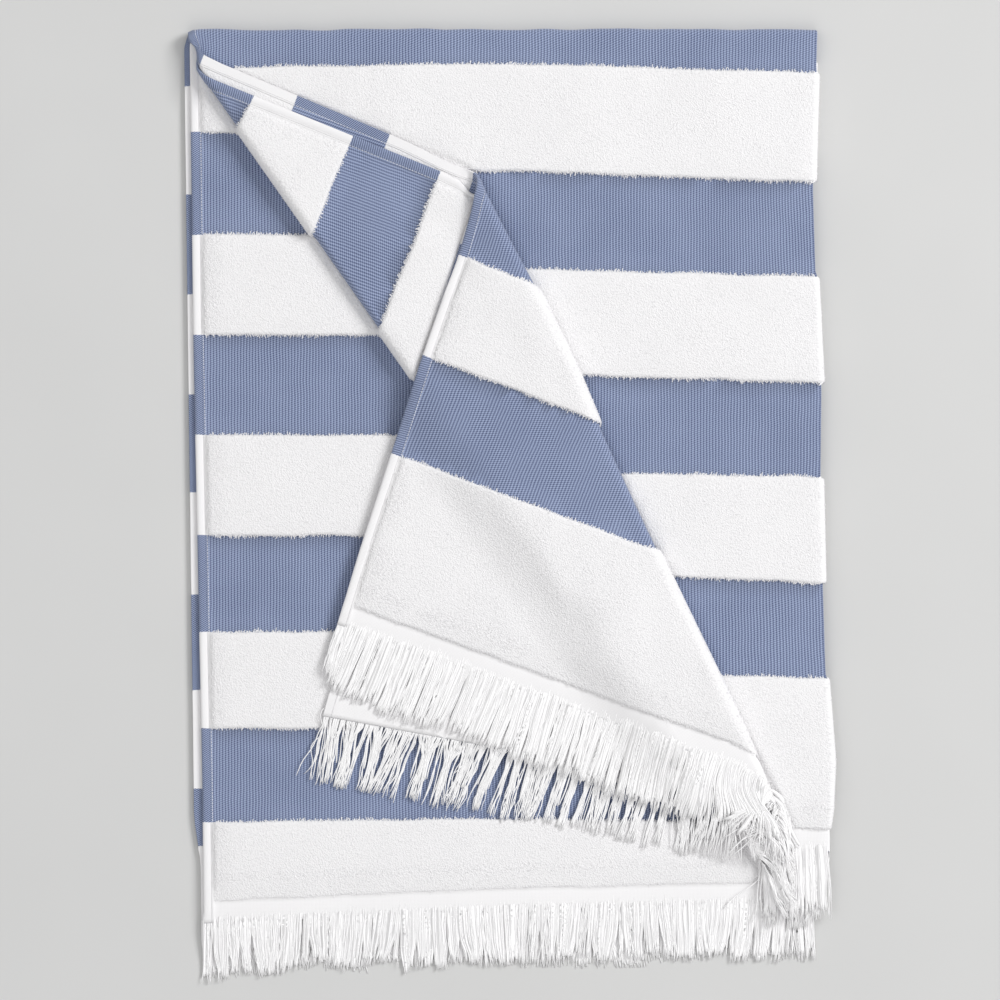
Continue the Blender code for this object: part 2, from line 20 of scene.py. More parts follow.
import bpy
import numpy as np
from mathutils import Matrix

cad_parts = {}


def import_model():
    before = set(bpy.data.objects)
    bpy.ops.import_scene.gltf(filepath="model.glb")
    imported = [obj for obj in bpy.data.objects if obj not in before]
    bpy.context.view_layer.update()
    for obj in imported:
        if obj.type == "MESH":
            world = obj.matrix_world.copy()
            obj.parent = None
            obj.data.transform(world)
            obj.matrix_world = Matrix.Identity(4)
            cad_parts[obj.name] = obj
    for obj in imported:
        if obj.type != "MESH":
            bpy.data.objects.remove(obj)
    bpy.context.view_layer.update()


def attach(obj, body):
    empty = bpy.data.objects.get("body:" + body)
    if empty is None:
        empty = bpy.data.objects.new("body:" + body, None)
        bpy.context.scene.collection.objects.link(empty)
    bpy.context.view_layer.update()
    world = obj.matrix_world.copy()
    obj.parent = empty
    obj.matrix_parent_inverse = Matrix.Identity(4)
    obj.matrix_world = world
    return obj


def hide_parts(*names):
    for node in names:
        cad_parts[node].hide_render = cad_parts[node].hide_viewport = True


LOG = logging.getLogger("beach_towel")
Array = np.ndarray
Line = tuple[float, float, float]

# Thicknesses and the space between two layers
CLOTH = 0.0014
GAP = 0.0008
PILE = 0.0032
PRESSED_PILE = 0.0011
FLOOR_PILE = 0.0024
YARN = 0.0012

# Middle heights of the layers, from the floor up
BACKS = CLOTH + GAP
FRONTS = 0.0044
LAYER_4 = FLOOR_PILE + CLOTH / 2
LAYER_3 = LAYER_4 + BACKS
LAYER_2 = LAYER_3 + FRONTS
LAYER_1 = LAYER_2 + BACKS
TURNED_1 = LAYER_1 + FRONTS
TURNED_2 = TURNED_1 + BACKS
BACK_2 = TURNED_2 + FRONTS
BACK_1 = BACK_2 + BACKS

# The right fold and the top fold
FOLD_X = 0.2450
TOP_Y = 0.3760
SIDE_RADIUS = BACKS / 2
SIDE_ARC = math.pi * SIDE_RADIUS / 2
TOP_AXIS = (LAYER_3 + LAYER_2) / 2
TOP_REACH = TOP_AXIS - LAYER_4 + CLOTH / 2
TOP_EASE = 0.012

# How far the folded towel is moved so that its box stands centred on the origin
CENTRING = (0.001023, 0.0039984, 0.0)

# The mesh carries its distances from stripe edges and hem in millimetres, up to this many either way
MILLIMETRES = 1000.0
FAR = 20.0


class Strip(Enum):
    """The two halves of the towel, either side of the right fold."""

    OUTER = -1
    INNER = 1


class End(Enum):
    """The towel's two fringed ends, by the row of its stripe table."""

    UPPER = 0
    LOWER = 19


def smooth_step(value: Array) -> Array:
    """Ease from 0 to 1: three times the square less twice the cube."""
    share = np.clip(value, 0.0, 1.0)
    return share * share * (3.0 - 2.0 * share)


def waves(x: Array, y: Array, lengths: tuple[float, float], seed: int, count: int = 14) -> Array:
    """Even, seeded unevenness of about -1 to 1.

    The sum of plane cosine waves in all directions, each with its own length and start, over its root.

    Args:
        x, y: where it is wanted.
        lengths: the shortest and the longest wave.
        seed: which unevenness.
        count: how many waves are summed.

    Returns:
        The height at each point.
    """
    rng = np.random.default_rng(seed)
    turn = rng.uniform(0.0, 2.0 * math.pi, (2, count))
    size = 2.0 * math.pi / rng.uniform(*lengths, count)
    total = np.zeros(np.broadcast(x, y).shape)
    for way, start, step in zip(turn[0], turn[1], size):
        total = total + np.cos((x * math.cos(way) + y * math.sin(way)) * step + start)
    return total / math.sqrt(count)


def beyond(line: Line, x: Array, y: Array) -> Array:
    """Distance of a point to the left of (or below) a line given as x, y and its slope below the X axis."""
    return -(x - line[0]) * math.sin(line[2]) - (y - line[1]) * math.cos(line[2])


def table_value(table: tuple, distance: Array, column: int = 1) -> Array:
    """Straight interpolation in a column of a table, by its first column."""
    return np.interp(distance, [row[0] for row in table], [row[column] for row in table])


@dataclass(frozen=True)
class Crease:
    """A slanting crease: a point on it, its slope below the X axis, which side of it turns, and its axis."""

    x: float
    y: float
    slope: float
    side: int
    axis: float

    @property
    def line(self) -> Line:
        """The crease as a line."""
        return self.x, self.y, self.slope

    def along_and_past(self, x: Array, y: Array) -> tuple[Array, Array]:
        """Distance t down the crease and distance s past it, on the side that turns.

        Args:
            x, y: the places.

        Returns:
            t and s.
        """
        t = (x - self.x) * math.cos(self.slope) - (y - self.y) * math.sin(self.slope)
        s = self.side * ((x - self.x) * math.sin(self.slope) + (y - self.y) * math.cos(self.slope))
        return t, s

    def place(self, t: Array, s: Array) -> tuple[Array, Array]:
        """The point that lies t down the crease and s past it.

        Args:
            t, s: the two distances.

        Returns:
            Its x and y.
        """
        x = self.x + t * math.cos(self.slope) + self.side * s * math.sin(self.slope)
        y = self.y - t * math.sin(self.slope) + self.side * s * math.cos(self.slope)
        return x, y

    def turn(
        self, x: Array, y: Array, z: Array, middle: Array, extra: Array, active: Array, most: Array | float
    ) -> tuple:
        """Bend what lies past the crease up and back over itself.

        With s the distance past the crease, a point bends through s over the radius, up to half a turn or the
        most that it may. Past that it runs straight on, which after half a turn is back the way it came.

        Args:
            x, y, z: the points.
            middle: the height of the cloth's middle at each.
            extra: how much higher the axis lies there.
            active: where the cloth takes part.
            most: the largest angle through which each point bends.

        Returns:
            x, y, z and middle after the turn, the angle, s, t and the distance past the bend.
        """
        axis = self.axis + extra
        t, s = self.along_and_past(x, y)
        radius = axis - middle
        bent = active & (s > 0)
        angle = np.where(bent, np.minimum(np.clip(s / radius, 0.0, math.pi), most), 0.0)
        past = np.maximum(s - angle * radius, 0.0)
        reach = (axis - z) * np.sin(angle) + past * np.cos(angle)
        turned_x, turned_y = self.place(t, reach)
        z = np.where(bent, axis - (axis - z) * np.cos(angle) + past * np.sin(angle), z)
        middle = np.where(bent, axis - radius * np.cos(angle) + past * np.sin(angle), middle)
        return np.where(bent, turned_x, x), np.where(bent, turned_y, y), z, middle, angle, s, t, past

    def mirror(self, x: Array, y: Array, radius: float) -> tuple[Array, Array]:
        """Turn a place back over the crease, adding the arc that the bend took."""
        t, s = self.along_and_past(x, y)
        return self.place(t, math.pi * radius - s)

    def beside(self, distance: float, length: float = 0.6) -> tuple:
        """Two places on the line that runs beside the crease, a distance past it."""
        return self.place(0.0, distance), self.place(length, distance)


@dataclass(frozen=True)
class Trough:
    """A soft trough (depth > 0) or ridge across the folded towel: its two ends, its width and its depth.

    It fades out over a share of its length at both ends. It wanders by a share of its width, in slow turns
    that start by its place.
    """

    x0: float
    y0: float
    x1: float
    y1: float
    width: float
    depth: float
    fade: float = 0.25
    wander: float = 0.25
    turns: float = 7.0
    start: float = 90.0

    def height(self, x: Array, y: Array) -> Array:
        """A bell curve across the line, which wanders by a share of its width and fades out at both ends.

        Args:
            x, y: the folded places.

        Returns:
            How far each place is raised.
        """
        run = math.hypot(self.x1 - self.x0, self.y1 - self.y0)
        ahead = ((self.x1 - self.x0) / run, (self.y1 - self.y0) / run)
        t = ((x - self.x0) * ahead[0] + (y - self.y0) * ahead[1]) / run
        s = (y - self.y0) * ahead[0] - (x - self.x0) * ahead[1]
        s = s + self.wander * self.width * np.sin(t * self.turns + self.x0 * self.start)
        ends = smooth_step(t / self.fade) * smooth_step((1.0 - t) / self.fade)
        return -self.depth * ends * np.exp(-((s / self.width) ** 2))


@dataclass(frozen=True)
class Tug:
    """A soft pull on the folded cloth, seen from above: its middle, its reach, and the shift there."""

    x: float
    y: float
    reach: float
    right: float
    up: float

    def shift(self, x: Array, y: Array, part: Array) -> tuple[Array, Array]:
        """How far each place is pulled: a bell curve round the middle, times the place's part in it."""
        share = part * np.exp(-((x - self.x) ** 2 + (y - self.y) ** 2) / self.reach**2)
        return share * self.right, share * self.up


@dataclass(frozen=True)
class Towel:
    """The towel's flat sizes, its stripes and its folds."""

    outer: float = 0.5075
    inner: float = 0.4985
    hem_run: float = 0.640
    outer_taper: tuple[float, float] = (-0.0332, -0.0082)
    inner_taper: tuple[float, float] = (-0.0249, -0.0068)
    inner_ease: tuple = (
        # distance from the top fold, how much wider the inner strip is there
        (-0.600, 0.0006),
        (-0.250, 0.0040),
        (0.000, 0.0044),
        (0.018, 0.0026),
        (0.042, 0.0000),
    )
    outer_ease: tuple = (
        # distance from the top fold, how much wider the outer strip is there
        (-0.665, -0.0048),
        (-0.630, 0.0000),
    )
    hem: float = 0.008
    station: float = 0.250
    first: Crease = Crease(-0.2560, 0.3610, math.radians(54.9), -1, (LAYER_1 + TURNED_1) / 2)
    second: Crease = Crease(-0.0355, 0.2624, math.radians(64.06), 1, (TURNED_2 + BACK_2) / 2)
    roll: float = 0.0020
    roll_length: float = 0.120
    roll_ease: float = 0.045
    turned_lead: float = 0.030
    back_width: float = 0.93
    back_start: float = 0.01
    back_hem_run: tuple[float, float] = (0.27, 0.72)
    back_hem_levels: tuple[float, float] = (-0.16, 0.27)
    step_start: float = -0.004
    step_length: float = 0.050
    rise_width: float = 0.0045
    layer_3_rise: float = 0.0020
    layer_1_rise: float = 0.0020
    thin_roll: tuple = (
        # distance down the second crease, how much nearer to it the pile below stands
        (0.420, 0.0000),
        (0.470, 0.0030),
    )
    turned_hem: Line = (-0.2560, 0.3610, math.radians(22.6))
    hem_rise_start: float = -0.0035
    back_hem: Line = (-0.0304, 0.2600, math.radians(107.0))
    turned_rise: float = -0.0020
    rise_angle: float = 0.35
    rise_turn: float = 1.5
    sway_width: float = 0.120
    top_ripple: float = 0.0006
    top_ripple_reach: float = 0.030
    edge_ripple: float = 0.00045
    swells: tuple = (
        # height, shortest wave, longest wave, seed
        (0.0007, 0.060, 0.160, 5),
        (0.0002, 0.022, 0.050, 6),
    )
    swell_height: float = 0.030
    yarn_pitch: float = 0.0017
    parting: float = 0.0006
    settle_run: float = 0.035
    droop_start: float = 0.002
    droop_run: float = 0.022
    droop_rest: float = LAYER_1 + 0.0022
    droop_sag: float = 0.5
    upper_end: Line = (0.2000, -0.3000, 0.0)
    back_end: Line = (-0.1440, -0.1760, math.radians(14.0))
    lower_end: Line = (-0.2500, -0.3390, math.radians(-1.9))
    back_sway: tuple = (
        # distance down the second crease, offset at it, at the upper layer's hem, at the lower one's
        (0.000, 0.0000, 0.0030, -0.0090),
        (0.030, 0.0010, 0.0044, -0.0124),
        (0.060, 0.0020, 0.0032, -0.0080),
        (0.080, 0.0030, -0.0002, -0.0074),
        (0.120, 0.0050, -0.0042, -0.0010),
        (0.180, 0.0050, -0.0070, -0.0010),
        (0.240, 0.0012, -0.0104, -0.0020),
        (0.300, 0.0000, -0.0122, -0.0026),
        (0.400, -0.0006, -0.0122, -0.0026),
        (0.640, -0.0006, -0.0122, -0.0026),
    )
    upper_sway: tuple = (
        # distance down from the top fold, offset of the right fold of the upper pair
        (0.000, -0.0013),
        (0.080, -0.0037),
        (0.128, -0.0049),
        (0.192, -0.0029),
        (0.288, 0.0019),
        (0.360, 0.0011),
        (0.448, 0.0031),
        (0.512, 0.0051),
        (0.584, 0.0107),
        (0.640, 0.0083),
        (0.708, 0.0111),
    )
    lower_sway: tuple = (
        # distance down from the top fold, offset of the right fold of the lower pair
        (0.000, -0.0013),
        (0.060, -0.0047),
        (0.128, -0.0085),
        (0.500, -0.0077),
        (0.640, -0.0057),
        (0.750, -0.0017),
    )
    edges: tuple = (
        # stripe begins    outer hem  outer mid  right fold  inner mid  inner hem
        ("plain end", 0.6420, 0.6505, 0.6565, 0.6860, 0.7170),
        ("white 1", 0.6240, 0.6325, 0.6385, 0.6680, 0.6990),
        ("blue 2", 0.5010, 0.5100, 0.5190, 0.5380, 0.5580),
        ("white 3", 0.4205, 0.4320, 0.4420, 0.4600, 0.4760),
        ("blue 4", 0.3380, 0.3530, 0.3580, 0.3750, 0.3920),
        ("white 5", 0.2665, 0.2745, 0.2820, 0.3050, 0.3270),
        ("blue 6", 0.1930, 0.1915, 0.1980, 0.2400, 0.2450),
        ("white 7", 0.1135, 0.1130, 0.1220, 0.1600, 0.1690),
        ("blue 8", 0.0315, 0.0280, 0.0350, 0.0580, 0.0840),
        ("white 9", -0.0460, -0.0370, -0.0260, -0.0020, -0.0016),
        ("blue 10", -0.1320, -0.1200, -0.1060, -0.0830, -0.0816),
        ("white 11", -0.2120, -0.2000, -0.1860, -0.1645, -0.1640),
        ("blue 12", -0.2920, -0.2810, -0.2680, -0.2445, -0.2440),
        ("white 13", -0.3705, -0.3600, -0.3480, -0.3245, -0.3240),
        ("blue 14", -0.4510, -0.4400, -0.4280, -0.4045, -0.4040),
        ("white 15", -0.5280, -0.5170, -0.5050, -0.4815, -0.4816),
        ("blue 16", -0.6070, -0.5940, -0.5810, -0.5580, -0.5584),
        ("white 17", -0.6520, -0.6440, -0.6340, -0.6310, -0.6336),
        ("plain 17", -0.6940, -0.6860, -0.6800, -0.6860, -0.6965),
        ("plain end", -0.7120, -0.7040, -0.6980, -0.7040, -0.7145),
    )
    edge_profile: tuple = (
        # distance into the white stripe, share of the pile's height
        (-0.0003, 0.00),
        (0.0003, 0.72),
        (0.0011, 0.93),
        (0.0026, 1.00),
    )
    hem_profile: tuple = (
        # distance from the towel's edge, height of the hem's front over the cloth's
        (0.0000, 0.0001),
        (0.0006, 0.0009),
        (0.0022, 0.0011),
        (0.0058, 0.0010),
        (0.0068, 0.0003),
        (0.0076, 0.0007),
        (0.0082, 0.0005),
    )
    beside_end: tuple = (
        # distance from a plain woven end, share of the pile's height at the upper end and at the lower one
        (0.000, 0.50, 0.24),
        (0.004, 0.62, 0.42),
        (0.016, 1.00, 1.00),
    )
    beside_hem: tuple = (
        # distance from the towel's edge, share of the pile's height that the hem's stitches leave
        (0.0080, 0.42),
        (0.0095, 0.70),
        (0.0150, 1.00),
    )
    troughs: tuple[Trough, ...] = (
        Trough(-0.020, -0.010, 0.070, -0.130, 0.013, 0.0012),
        Trough(0.030, -0.040, 0.075, -0.120, 0.008, 0.0006),
        Trough(-0.110, 0.290, -0.020, 0.170, 0.012, 0.0008),
        Trough(0.060, 0.330, 0.110, 0.260, 0.020, 0.0006),
        Trough(0.120, 0.150, 0.220, 0.090, 0.022, -0.0006),
        Trough(-0.230, 0.050, -0.110, 0.010, 0.024, 0.0004),
        Trough(-0.220, -0.110, -0.120, -0.140, 0.022, -0.0004),
        Trough(-0.240, -0.310, 0.100, -0.316, 0.010, 0.0008),
    )
    round_corner: Tug = Tug(-0.2608, 0.3760, 0.0072, 0.0032, -0.0040)
    crease_top: Tug = Tug(-0.2576, 0.3584, 0.0104, 0.0056, 0.0032)
    slack_hem: Tug = Tug(-0.0464, 0.2720, 0.0256, 0.0, -0.0029)
    hem_loop: Tug = Tug(-0.0272, 0.2528, 0.0100, -0.0019, -0.0070)
    soft_foot: Tug = Tug(0.1976, -0.2040, 0.0120, 0.0028, -0.0058)
    hem_seam: float = 0.0008
    end_share: float = 0.15
    end_thinning: float = 0.012

    def hem_width(self, side: Array, along: Array) -> Array:
        """Half the flat width of the outer or inner strip, which tapers evenly and is eased by its table.

        Args:
            side: below 0 for the outer strip.
            along: distance from the top fold.

        Returns:
            The distance from the right fold to the hem's edge.
        """
        run = np.abs(along) / self.hem_run
        upper = np.asarray(along) > 0
        outer = self.outer + np.where(upper, *self.outer_taper) * run + table_value(self.outer_ease, along)
        inner = self.inner + np.where(upper, *self.inner_taper) * run + table_value(self.inner_ease, along)
        return np.where(np.asarray(side) < 0, outer, inner)

    @property
    def terry_bands(self) -> tuple[tuple[int, int], ...]:
        """The pairs of stripe edges that a stripe of terry lies between."""
        return tuple((edge, edge + 1) for edge in range(1, End.LOWER.value - 1, 2))

    def edge_at(self, edge: int, across: Array) -> Array:
        """Distance of a stripe edge from the top fold: straight between five stations, a little uneven.

        Args:
            edge: its row in the table of edges.
            across: distance from the right fold.

        Returns:
            The distance there. The towel's own two ends are straight.
        """
        row = self.edges[edge][1:]
        outer, inner = self.hem_width(-1, row[0]), self.hem_width(1, row[4])
        line = np.interp(across, (-outer, -self.station, 0.0, self.station, inner), row)
        if edge in (End.UPPER.value, End.LOWER.value):
            return line
        return line + self.edge_ripple * waves(across, row[2], (0.012, 0.090), 31 + edge, 9)

    def depth_in(self, pairs: tuple, across: Array, along: Array) -> Array:
        """How far a point lies inside the stripes between each pair of edges, negative outside them.

        Args:
            pairs: the rows of each stripe's two edges.
            across, along: the flat places.

        Returns:
            The distance to the nearer edge of the stripe.
        """
        depth = np.full(np.broadcast(across, along).shape, -1.0)
        for first, last in pairs:
            inside = np.minimum(self.edge_at(first, across) - along, along - self.edge_at(last, across))
            depth = np.maximum(depth, inside)
        return depth

    def terry_depth(self, across: Array, along: Array) -> Array:
        """How far a point lies inside a stripe of terry."""
        return self.depth_in(self.terry_bands, across, along)

    def white_depth(self, across: Array, along: Array) -> Array:
        """How far a point lies inside a white stripe, where a plain woven end and its terry are one.

        Args:
            across, along: the flat places.

        Returns:
            The distance to the nearer edge of the stripe.
        """
        first, last = End.UPPER.value, End.LOWER.value
        pairs = ((first, first + 2), *self.terry_bands[1:-1], (last - 2, last))
        return self.depth_in(pairs, across, along)

    def bend_side(self, across: Array, offset: Array) -> tuple[Array, Array, Array]:
        """Lay the inner strip over the outer one, round the right fold.

        Through the arc a point lies at the radius and its offset from the axis, and past it runs straight on.

        Args:
            across: the flat distance from the fold.
            offset: distance from the cloth's middle towards its front.

        Returns:
            x from the axis, the height, and the height of the cloth's middle.
        """
        angle = np.clip(across / SIDE_RADIUS + math.pi / 2, 0.0, math.pi)
        reach = SIDE_RADIUS + offset
        past = np.maximum(np.abs(across) - SIDE_ARC, 0.0)
        x = reach * np.sin(angle) - past
        return x, SIDE_RADIUS - reach * np.cos(angle), SIDE_RADIUS * (1.0 - np.cos(angle))

    def bend_top(self, along: Array, height: Array, middle: Array) -> tuple[Array, Array, Array, Array]:
        """Lay the upper pair over the lower one, round the top fold.

        All layers bend about one axis, and the spare length of the inner ones' shorter arcs is eased in.

        Args:
            along: the flat distance from the fold.
            height, middle: those of the point and of its cloth's middle, over the lowest layer.

        Returns:
            y from the axis, the height, the height of the cloth's middle, and the angle.
        """
        axis = TOP_AXIS - LAYER_4
        radius = axis - middle
        spare = math.pi * radius / 2 - TOP_REACH
        run = along + spare * np.clip(along / TOP_EASE, -1.0, 1.0)
        angle = np.clip(run / radius + math.pi / 2, 0.0, math.pi)
        past = np.maximum(np.abs(run) - math.pi * radius / 2, 0.0)
        y = (axis - height) * np.sin(angle) - past
        return y, axis - (axis - height) * np.cos(angle), axis - radius * np.cos(angle), angle

    def settle(
        self, x: Array, y: Array, z: Array, middle: Array, turned_back: Array, fallen: Array
    ) -> Array:
        """Let the yarns beyond the cloth's ends sink to the height at which they rest on one another.

        Args:
            x, y, z: the folded places.
            middle: the height of the cloth's middle at each.
            turned_back: whether both creases have turned it.
            fallen: how far it has come down beside the first crease.

        Returns:
            The new heights.
        """
        levels = (LAYER_4, LAYER_3, LAYER_2, LAYER_1, TURNED_1, TURNED_2, BACK_2, BACK_1)
        pressed = LAYER_3 + CLOTH / 2 + PRESSED_PILE + YARN / 2 + self.parting
        open_cloth = LAYER_3 + CLOTH / 2 + PILE + YARN / 2 + self.parting
        on_cloth = levels[:2] + tuple(pressed + self.yarn_pitch * k for k in range(6))
        on_floor = tuple(YARN / 2 + self.yarn_pitch * k for k in range(8))
        past_upper = np.where(turned_back, 0.0, smooth_step(beyond(self.upper_end, x, y) / self.settle_run))
        past_lower = smooth_step(beyond(self.lower_end, x, y) / self.settle_run)
        lowered = middle + past_upper * (np.interp(middle, levels, on_cloth) - middle)
        lowered = lowered + past_lower * (np.interp(middle, levels, on_floor) - lowered)
        past_back = fallen * smooth_step(beyond(self.back_end, x, y) / self.settle_run)
        resting = self.resting_2
        drops = (resting - open_cloth, resting + BACKS - open_cloth - self.yarn_pitch)
        drop = np.interp(middle, levels[6:], drops)
        return z - middle + lowered - np.where(turned_back, past_back * drop, 0.0)

    @property
    def resting_2(self) -> float:
        """Middle height of the lower turned-back layer where it has come down on layer 3."""
        return LAYER_3 + PILE + PRESSED_PILE + CLOTH + GAP

    def swell(self, x: Array, y: Array, z: Array) -> Array:
        """How much higher a place lies than on an even towel: more the higher it lies in the pile.

        The sum of two sets of waves and the listed troughs, eased from none at the floor.

        Args:
            x, y, z: the folded places.

        Returns:
            The rise.
        """
        rise = sum(size * waves(x, y, (short, long), seed) for size, short, long, seed in self.swells)
        for trough in self.troughs:
            rise = rise + trough.height(x, y)
        return rise * smooth_step(z / self.swell_height)

    def fold(
        self, across: Array, along: Array, offset: Array, most: tuple = (math.pi, math.pi)
    ) -> tuple[Array, dict[str, Array]]:
        """Carry flat points to their folded place.

        The right fold, the top fold and the two creases are bends of constant thickness, one after the other.
        Then the edges sway sideways by their tables, and what is turned back comes down beside the first
        crease.

        Args:
            across, along: the flat places.
            offset: distance from the cloth's middle towards its front.
            most: the largest angle through which each of the two creases bends each place.

        Returns:
            The points, one row each, and what the pile needs to know about them.
        """
        x, z, middle = self.bend_side(across, offset)
        y, z, middle, top_angle = self.bend_top(along, z, middle)
        x, y, z, middle = x + FOLD_X, y + TOP_Y - TOP_REACH, z + LAYER_4, middle + LAYER_4
        upper = top_angle >= math.pi
        x, y, z, middle, angle_1, _, _, _ = self.first.turn(x, y, z, middle, 0.0, upper, most[0])
        turned = angle_1 >= math.pi
        run, _ = self.second.along_and_past(x, y)
        roll = self.roll * np.exp(-np.maximum(run, 0.0) / self.roll_length)
        x, y, z, middle, angle_2, s_2, t_2, past_2 = self.second.turn(x, y, z, middle, roll, turned, most[1])
        turned_back = angle_2 >= math.pi
        past_2 = np.where(turned_back, past_2, 0.0)
        sunk = self.droop(middle, s_2, turned & (angle_2 <= 0))
        z, middle = z - sunk, middle - sunk
        state = {
            "x": x, "y": y, "angle_1": angle_1, "angle_2": angle_2, "upper": upper, "outer": across < 0,
        }
        lead = np.where(turned, smooth_step(1.0 + s_2 / self.turned_lead), 0.0)
        x = x + lead * self.back_shift(across, t_2, past_2)
        left = beyond(self.first.line, x, y)
        state["left"] = left
        back = np.where(angle_2 > 0, smooth_step(angle_2 * 2 / math.pi), 0.0)
        fallen = back * smooth_step((left - self.step_start) / self.step_length)
        x, y = self.sway(x, y, across, top_angle)
        x, y = self.pull(x, y, across, smooth_step(top_angle / math.pi), smooth_step(angle_1 / math.pi))
        z = self.settle(x, y, z, middle, turned_back, fallen)
        eased = np.where(turned_back, 2 * roll * smooth_step(past_2 / self.roll_ease), 0.0)
        z = z - eased * (1.0 - fallen) - fallen * (BACK_2 - self.resting_2)
        z = z + self.swell(x, y, z)
        points = np.stack([x + CENTRING[0], y + CENTRING[1], z + CENTRING[2]], axis=-1)
        return points, state

    def droop(self, middle: Array, past: Array, loose: Array) -> Array:
        """How far yarns sink that run on past the second crease without being bent by it.

        Args:
            middle: the height of their layer's middle.
            past: distance past the second crease.
            loose: which places take part.

        Returns:
            The drop. The lower layer's yarns come down to their rest, and the upper one's to a share of their
            height over them.
        """
        share = np.where(loose, smooth_step((past - self.droop_start) / self.droop_run), 0.0)
        return share * (middle - self.droop_rest - self.droop_sag * (middle - TURNED_1))

    def back_shift(self, across: Array, down: Array, past: Array) -> Array:
        """How far what is turned back is shifted, from its amount at the crease to that at its two hems.

        Args:
            across: the flat distance from the right fold.
            down, past: distance down the second crease, and past its bend.

        Returns:
            The shift to the right.
        """
        at_crease, outer, inner = (table_value(self.back_sway, down, column) for column in (1, 2, 3))
        at_hem = np.where(across < 0, outer, inner)
        width = self.back_width * np.maximum(down, self.back_start)
        return at_crease + (at_hem - at_crease) * np.clip(past / width, 0.0, 1.0)

    def sway(self, x: Array, y: Array, across: Array, top_angle: Array) -> tuple[Array, Array]:
        """Let the right fold sway sideways by its two tables, and the top fold by small waves.

        Args:
            x, y: the folded places.
            across: their flat distance from the right fold.
            top_angle: how far the top fold has turned each.

        Returns:
            The places after both.
        """
        down = TOP_Y - y
        upper, lower = table_value(self.upper_sway, down), table_value(self.lower_sway, down)
        x = x + np.where(top_angle > 0, upper, lower) * smooth_step(1.0 - np.abs(across) / self.sway_width)
        near_top = smooth_step(1.0 - down / self.top_ripple_reach)
        return x, y + self.top_ripple * waves(x, 0.0, (0.025, 0.080), 8) * near_top

    def pull(self, x: Array, y: Array, across: Array, upper: Array, turned: Array) -> tuple[Array, Array]:
        """Pull the rounded corner, the top of the first crease, and the slack hems and foot of the second.

        Args:
            x, y: the folded places.
            across: their flat distance from the right fold.
            upper, turned: how far each belongs to the upper pair, and to what the first crease turns.

        Returns:
            The places after every pull.
        """
        pulls = (
            (self.round_corner, np.ones_like(x)),
            (self.crease_top, upper),
            (self.slack_hem, turned * (across < 0)),
            (self.hem_loop, turned * (across > 0)),
            (self.soft_foot, turned),
        )
        shifts = np.array([tug.shift(x, y, part) for tug, part in pulls]).sum(axis=0)
        return x + shifts[0], y + shifts[1]

    @cached_property
    def back_edge(self) -> tuple[Array, Array]:
        """The left edge of what is turned back.

        Returns:
            Places up the towel, and how far left its hems reach there.
        """
        along = np.linspace(*self.back_hem_run, 400)
        levels = np.linspace(*self.back_hem_levels, 200)
        lines = []
        for side in (-1, 1):
            points, state = self.fold(side * self.hem_width(side, along), along, np.zeros_like(along))
            hem = points[state["angle_2"] >= math.pi]
            hem = hem[np.argsort(hem[:, 1])]
            lines.append(np.interp(levels, hem[:, 1], hem[:, 0]))
        return levels, np.minimum(*lines)

    def openness(self, across: Array, along: Array) -> Array:
        """How far the pile at a flat place is free to stand: 0 where a layer presses on it, 1 in the open.

        Each layer is in the open beyond the edge of the one that covers it, and rises over a short width
        there. What a crease has turned past the angle at which the pile lifts is in the open too.

        Args:
            across, along: the flat places.

        Returns:
            The share of the pile's height that stands.
        """
        points, state = self.fold(across, along, np.zeros_like(across))
        x, y = state["x"], state["y"]
        open_3 = smooth_step((state["left"] - self.layer_3_rise) / self.rise_width)
        past_hem = -beyond(self.turned_hem, x, y) - self.hem_rise_start
        run, _ = self.second.along_and_past(x, y)
        past_roll = -beyond(self.second.line, x, y) - self.layer_1_rise + table_value(self.thin_roll, run)
        open_1 = smooth_step(np.maximum(past_hem, past_roll) / self.rise_width)
        left_of_hem = np.interp(points[..., 1], *self.back_edge) - points[..., 0]
        left_of_hem = left_of_hem * math.sin(self.back_hem[2])
        open_2 = smooth_step((left_of_hem - self.turned_rise) / self.rise_width)
        rise_1 = smooth_step((state["angle_1"] - self.rise_angle) / self.rise_turn)
        rise_2 = smooth_step((state["angle_2"] - self.rise_angle) / self.rise_turn)
        lower = np.where(state["outer"], (FLOOR_PILE - PRESSED_PILE) / (PILE - PRESSED_PILE), open_3)
        layer_1 = np.where(state["angle_1"] > 0, rise_2, open_1)
        layer_2 = np.where(state["angle_2"] > 0, 0.0, rise_1 * open_2)
        return np.where(state["upper"], np.where(state["outer"], layer_1, layer_2), lower)

    def front_height(self, across: Array, along: Array) -> Array:
        """Distance of the cloth's front from its middle: terry stands up where nothing presses on it.

        The pile's height is multiplied by its share beside stripe edges, hems and ends. The hem has its own.

        Args:
            across, along: the flat places.

        Returns:
            The distance.
        """
        pile = PRESSED_PILE + self.openness(across, along) * (PILE - PRESSED_PILE)
        pile = pile * table_value(self.edge_profile, self.terry_depth(across, along))
        from_hem = self.hem_width(across, along) - np.abs(across)
        pile = pile * table_value(self.beside_hem, from_hem)
        pile = pile * table_value(self.beside_end, self.edge_at(self.terry_bands[0][0], across) - along)
        pile = pile * table_value(self.beside_end, along - self.edge_at(self.terry_bands[-1][1], across), 2)
        on_hem = np.clip((self.hem + self.hem_seam - from_hem) / self.hem_seam, 0.0, 1.0)
        standing = pile + on_hem * (table_value(self.hem_profile, from_hem) - pile)
        return (CLOTH / 2 + standing) * self.thinning(across, along)

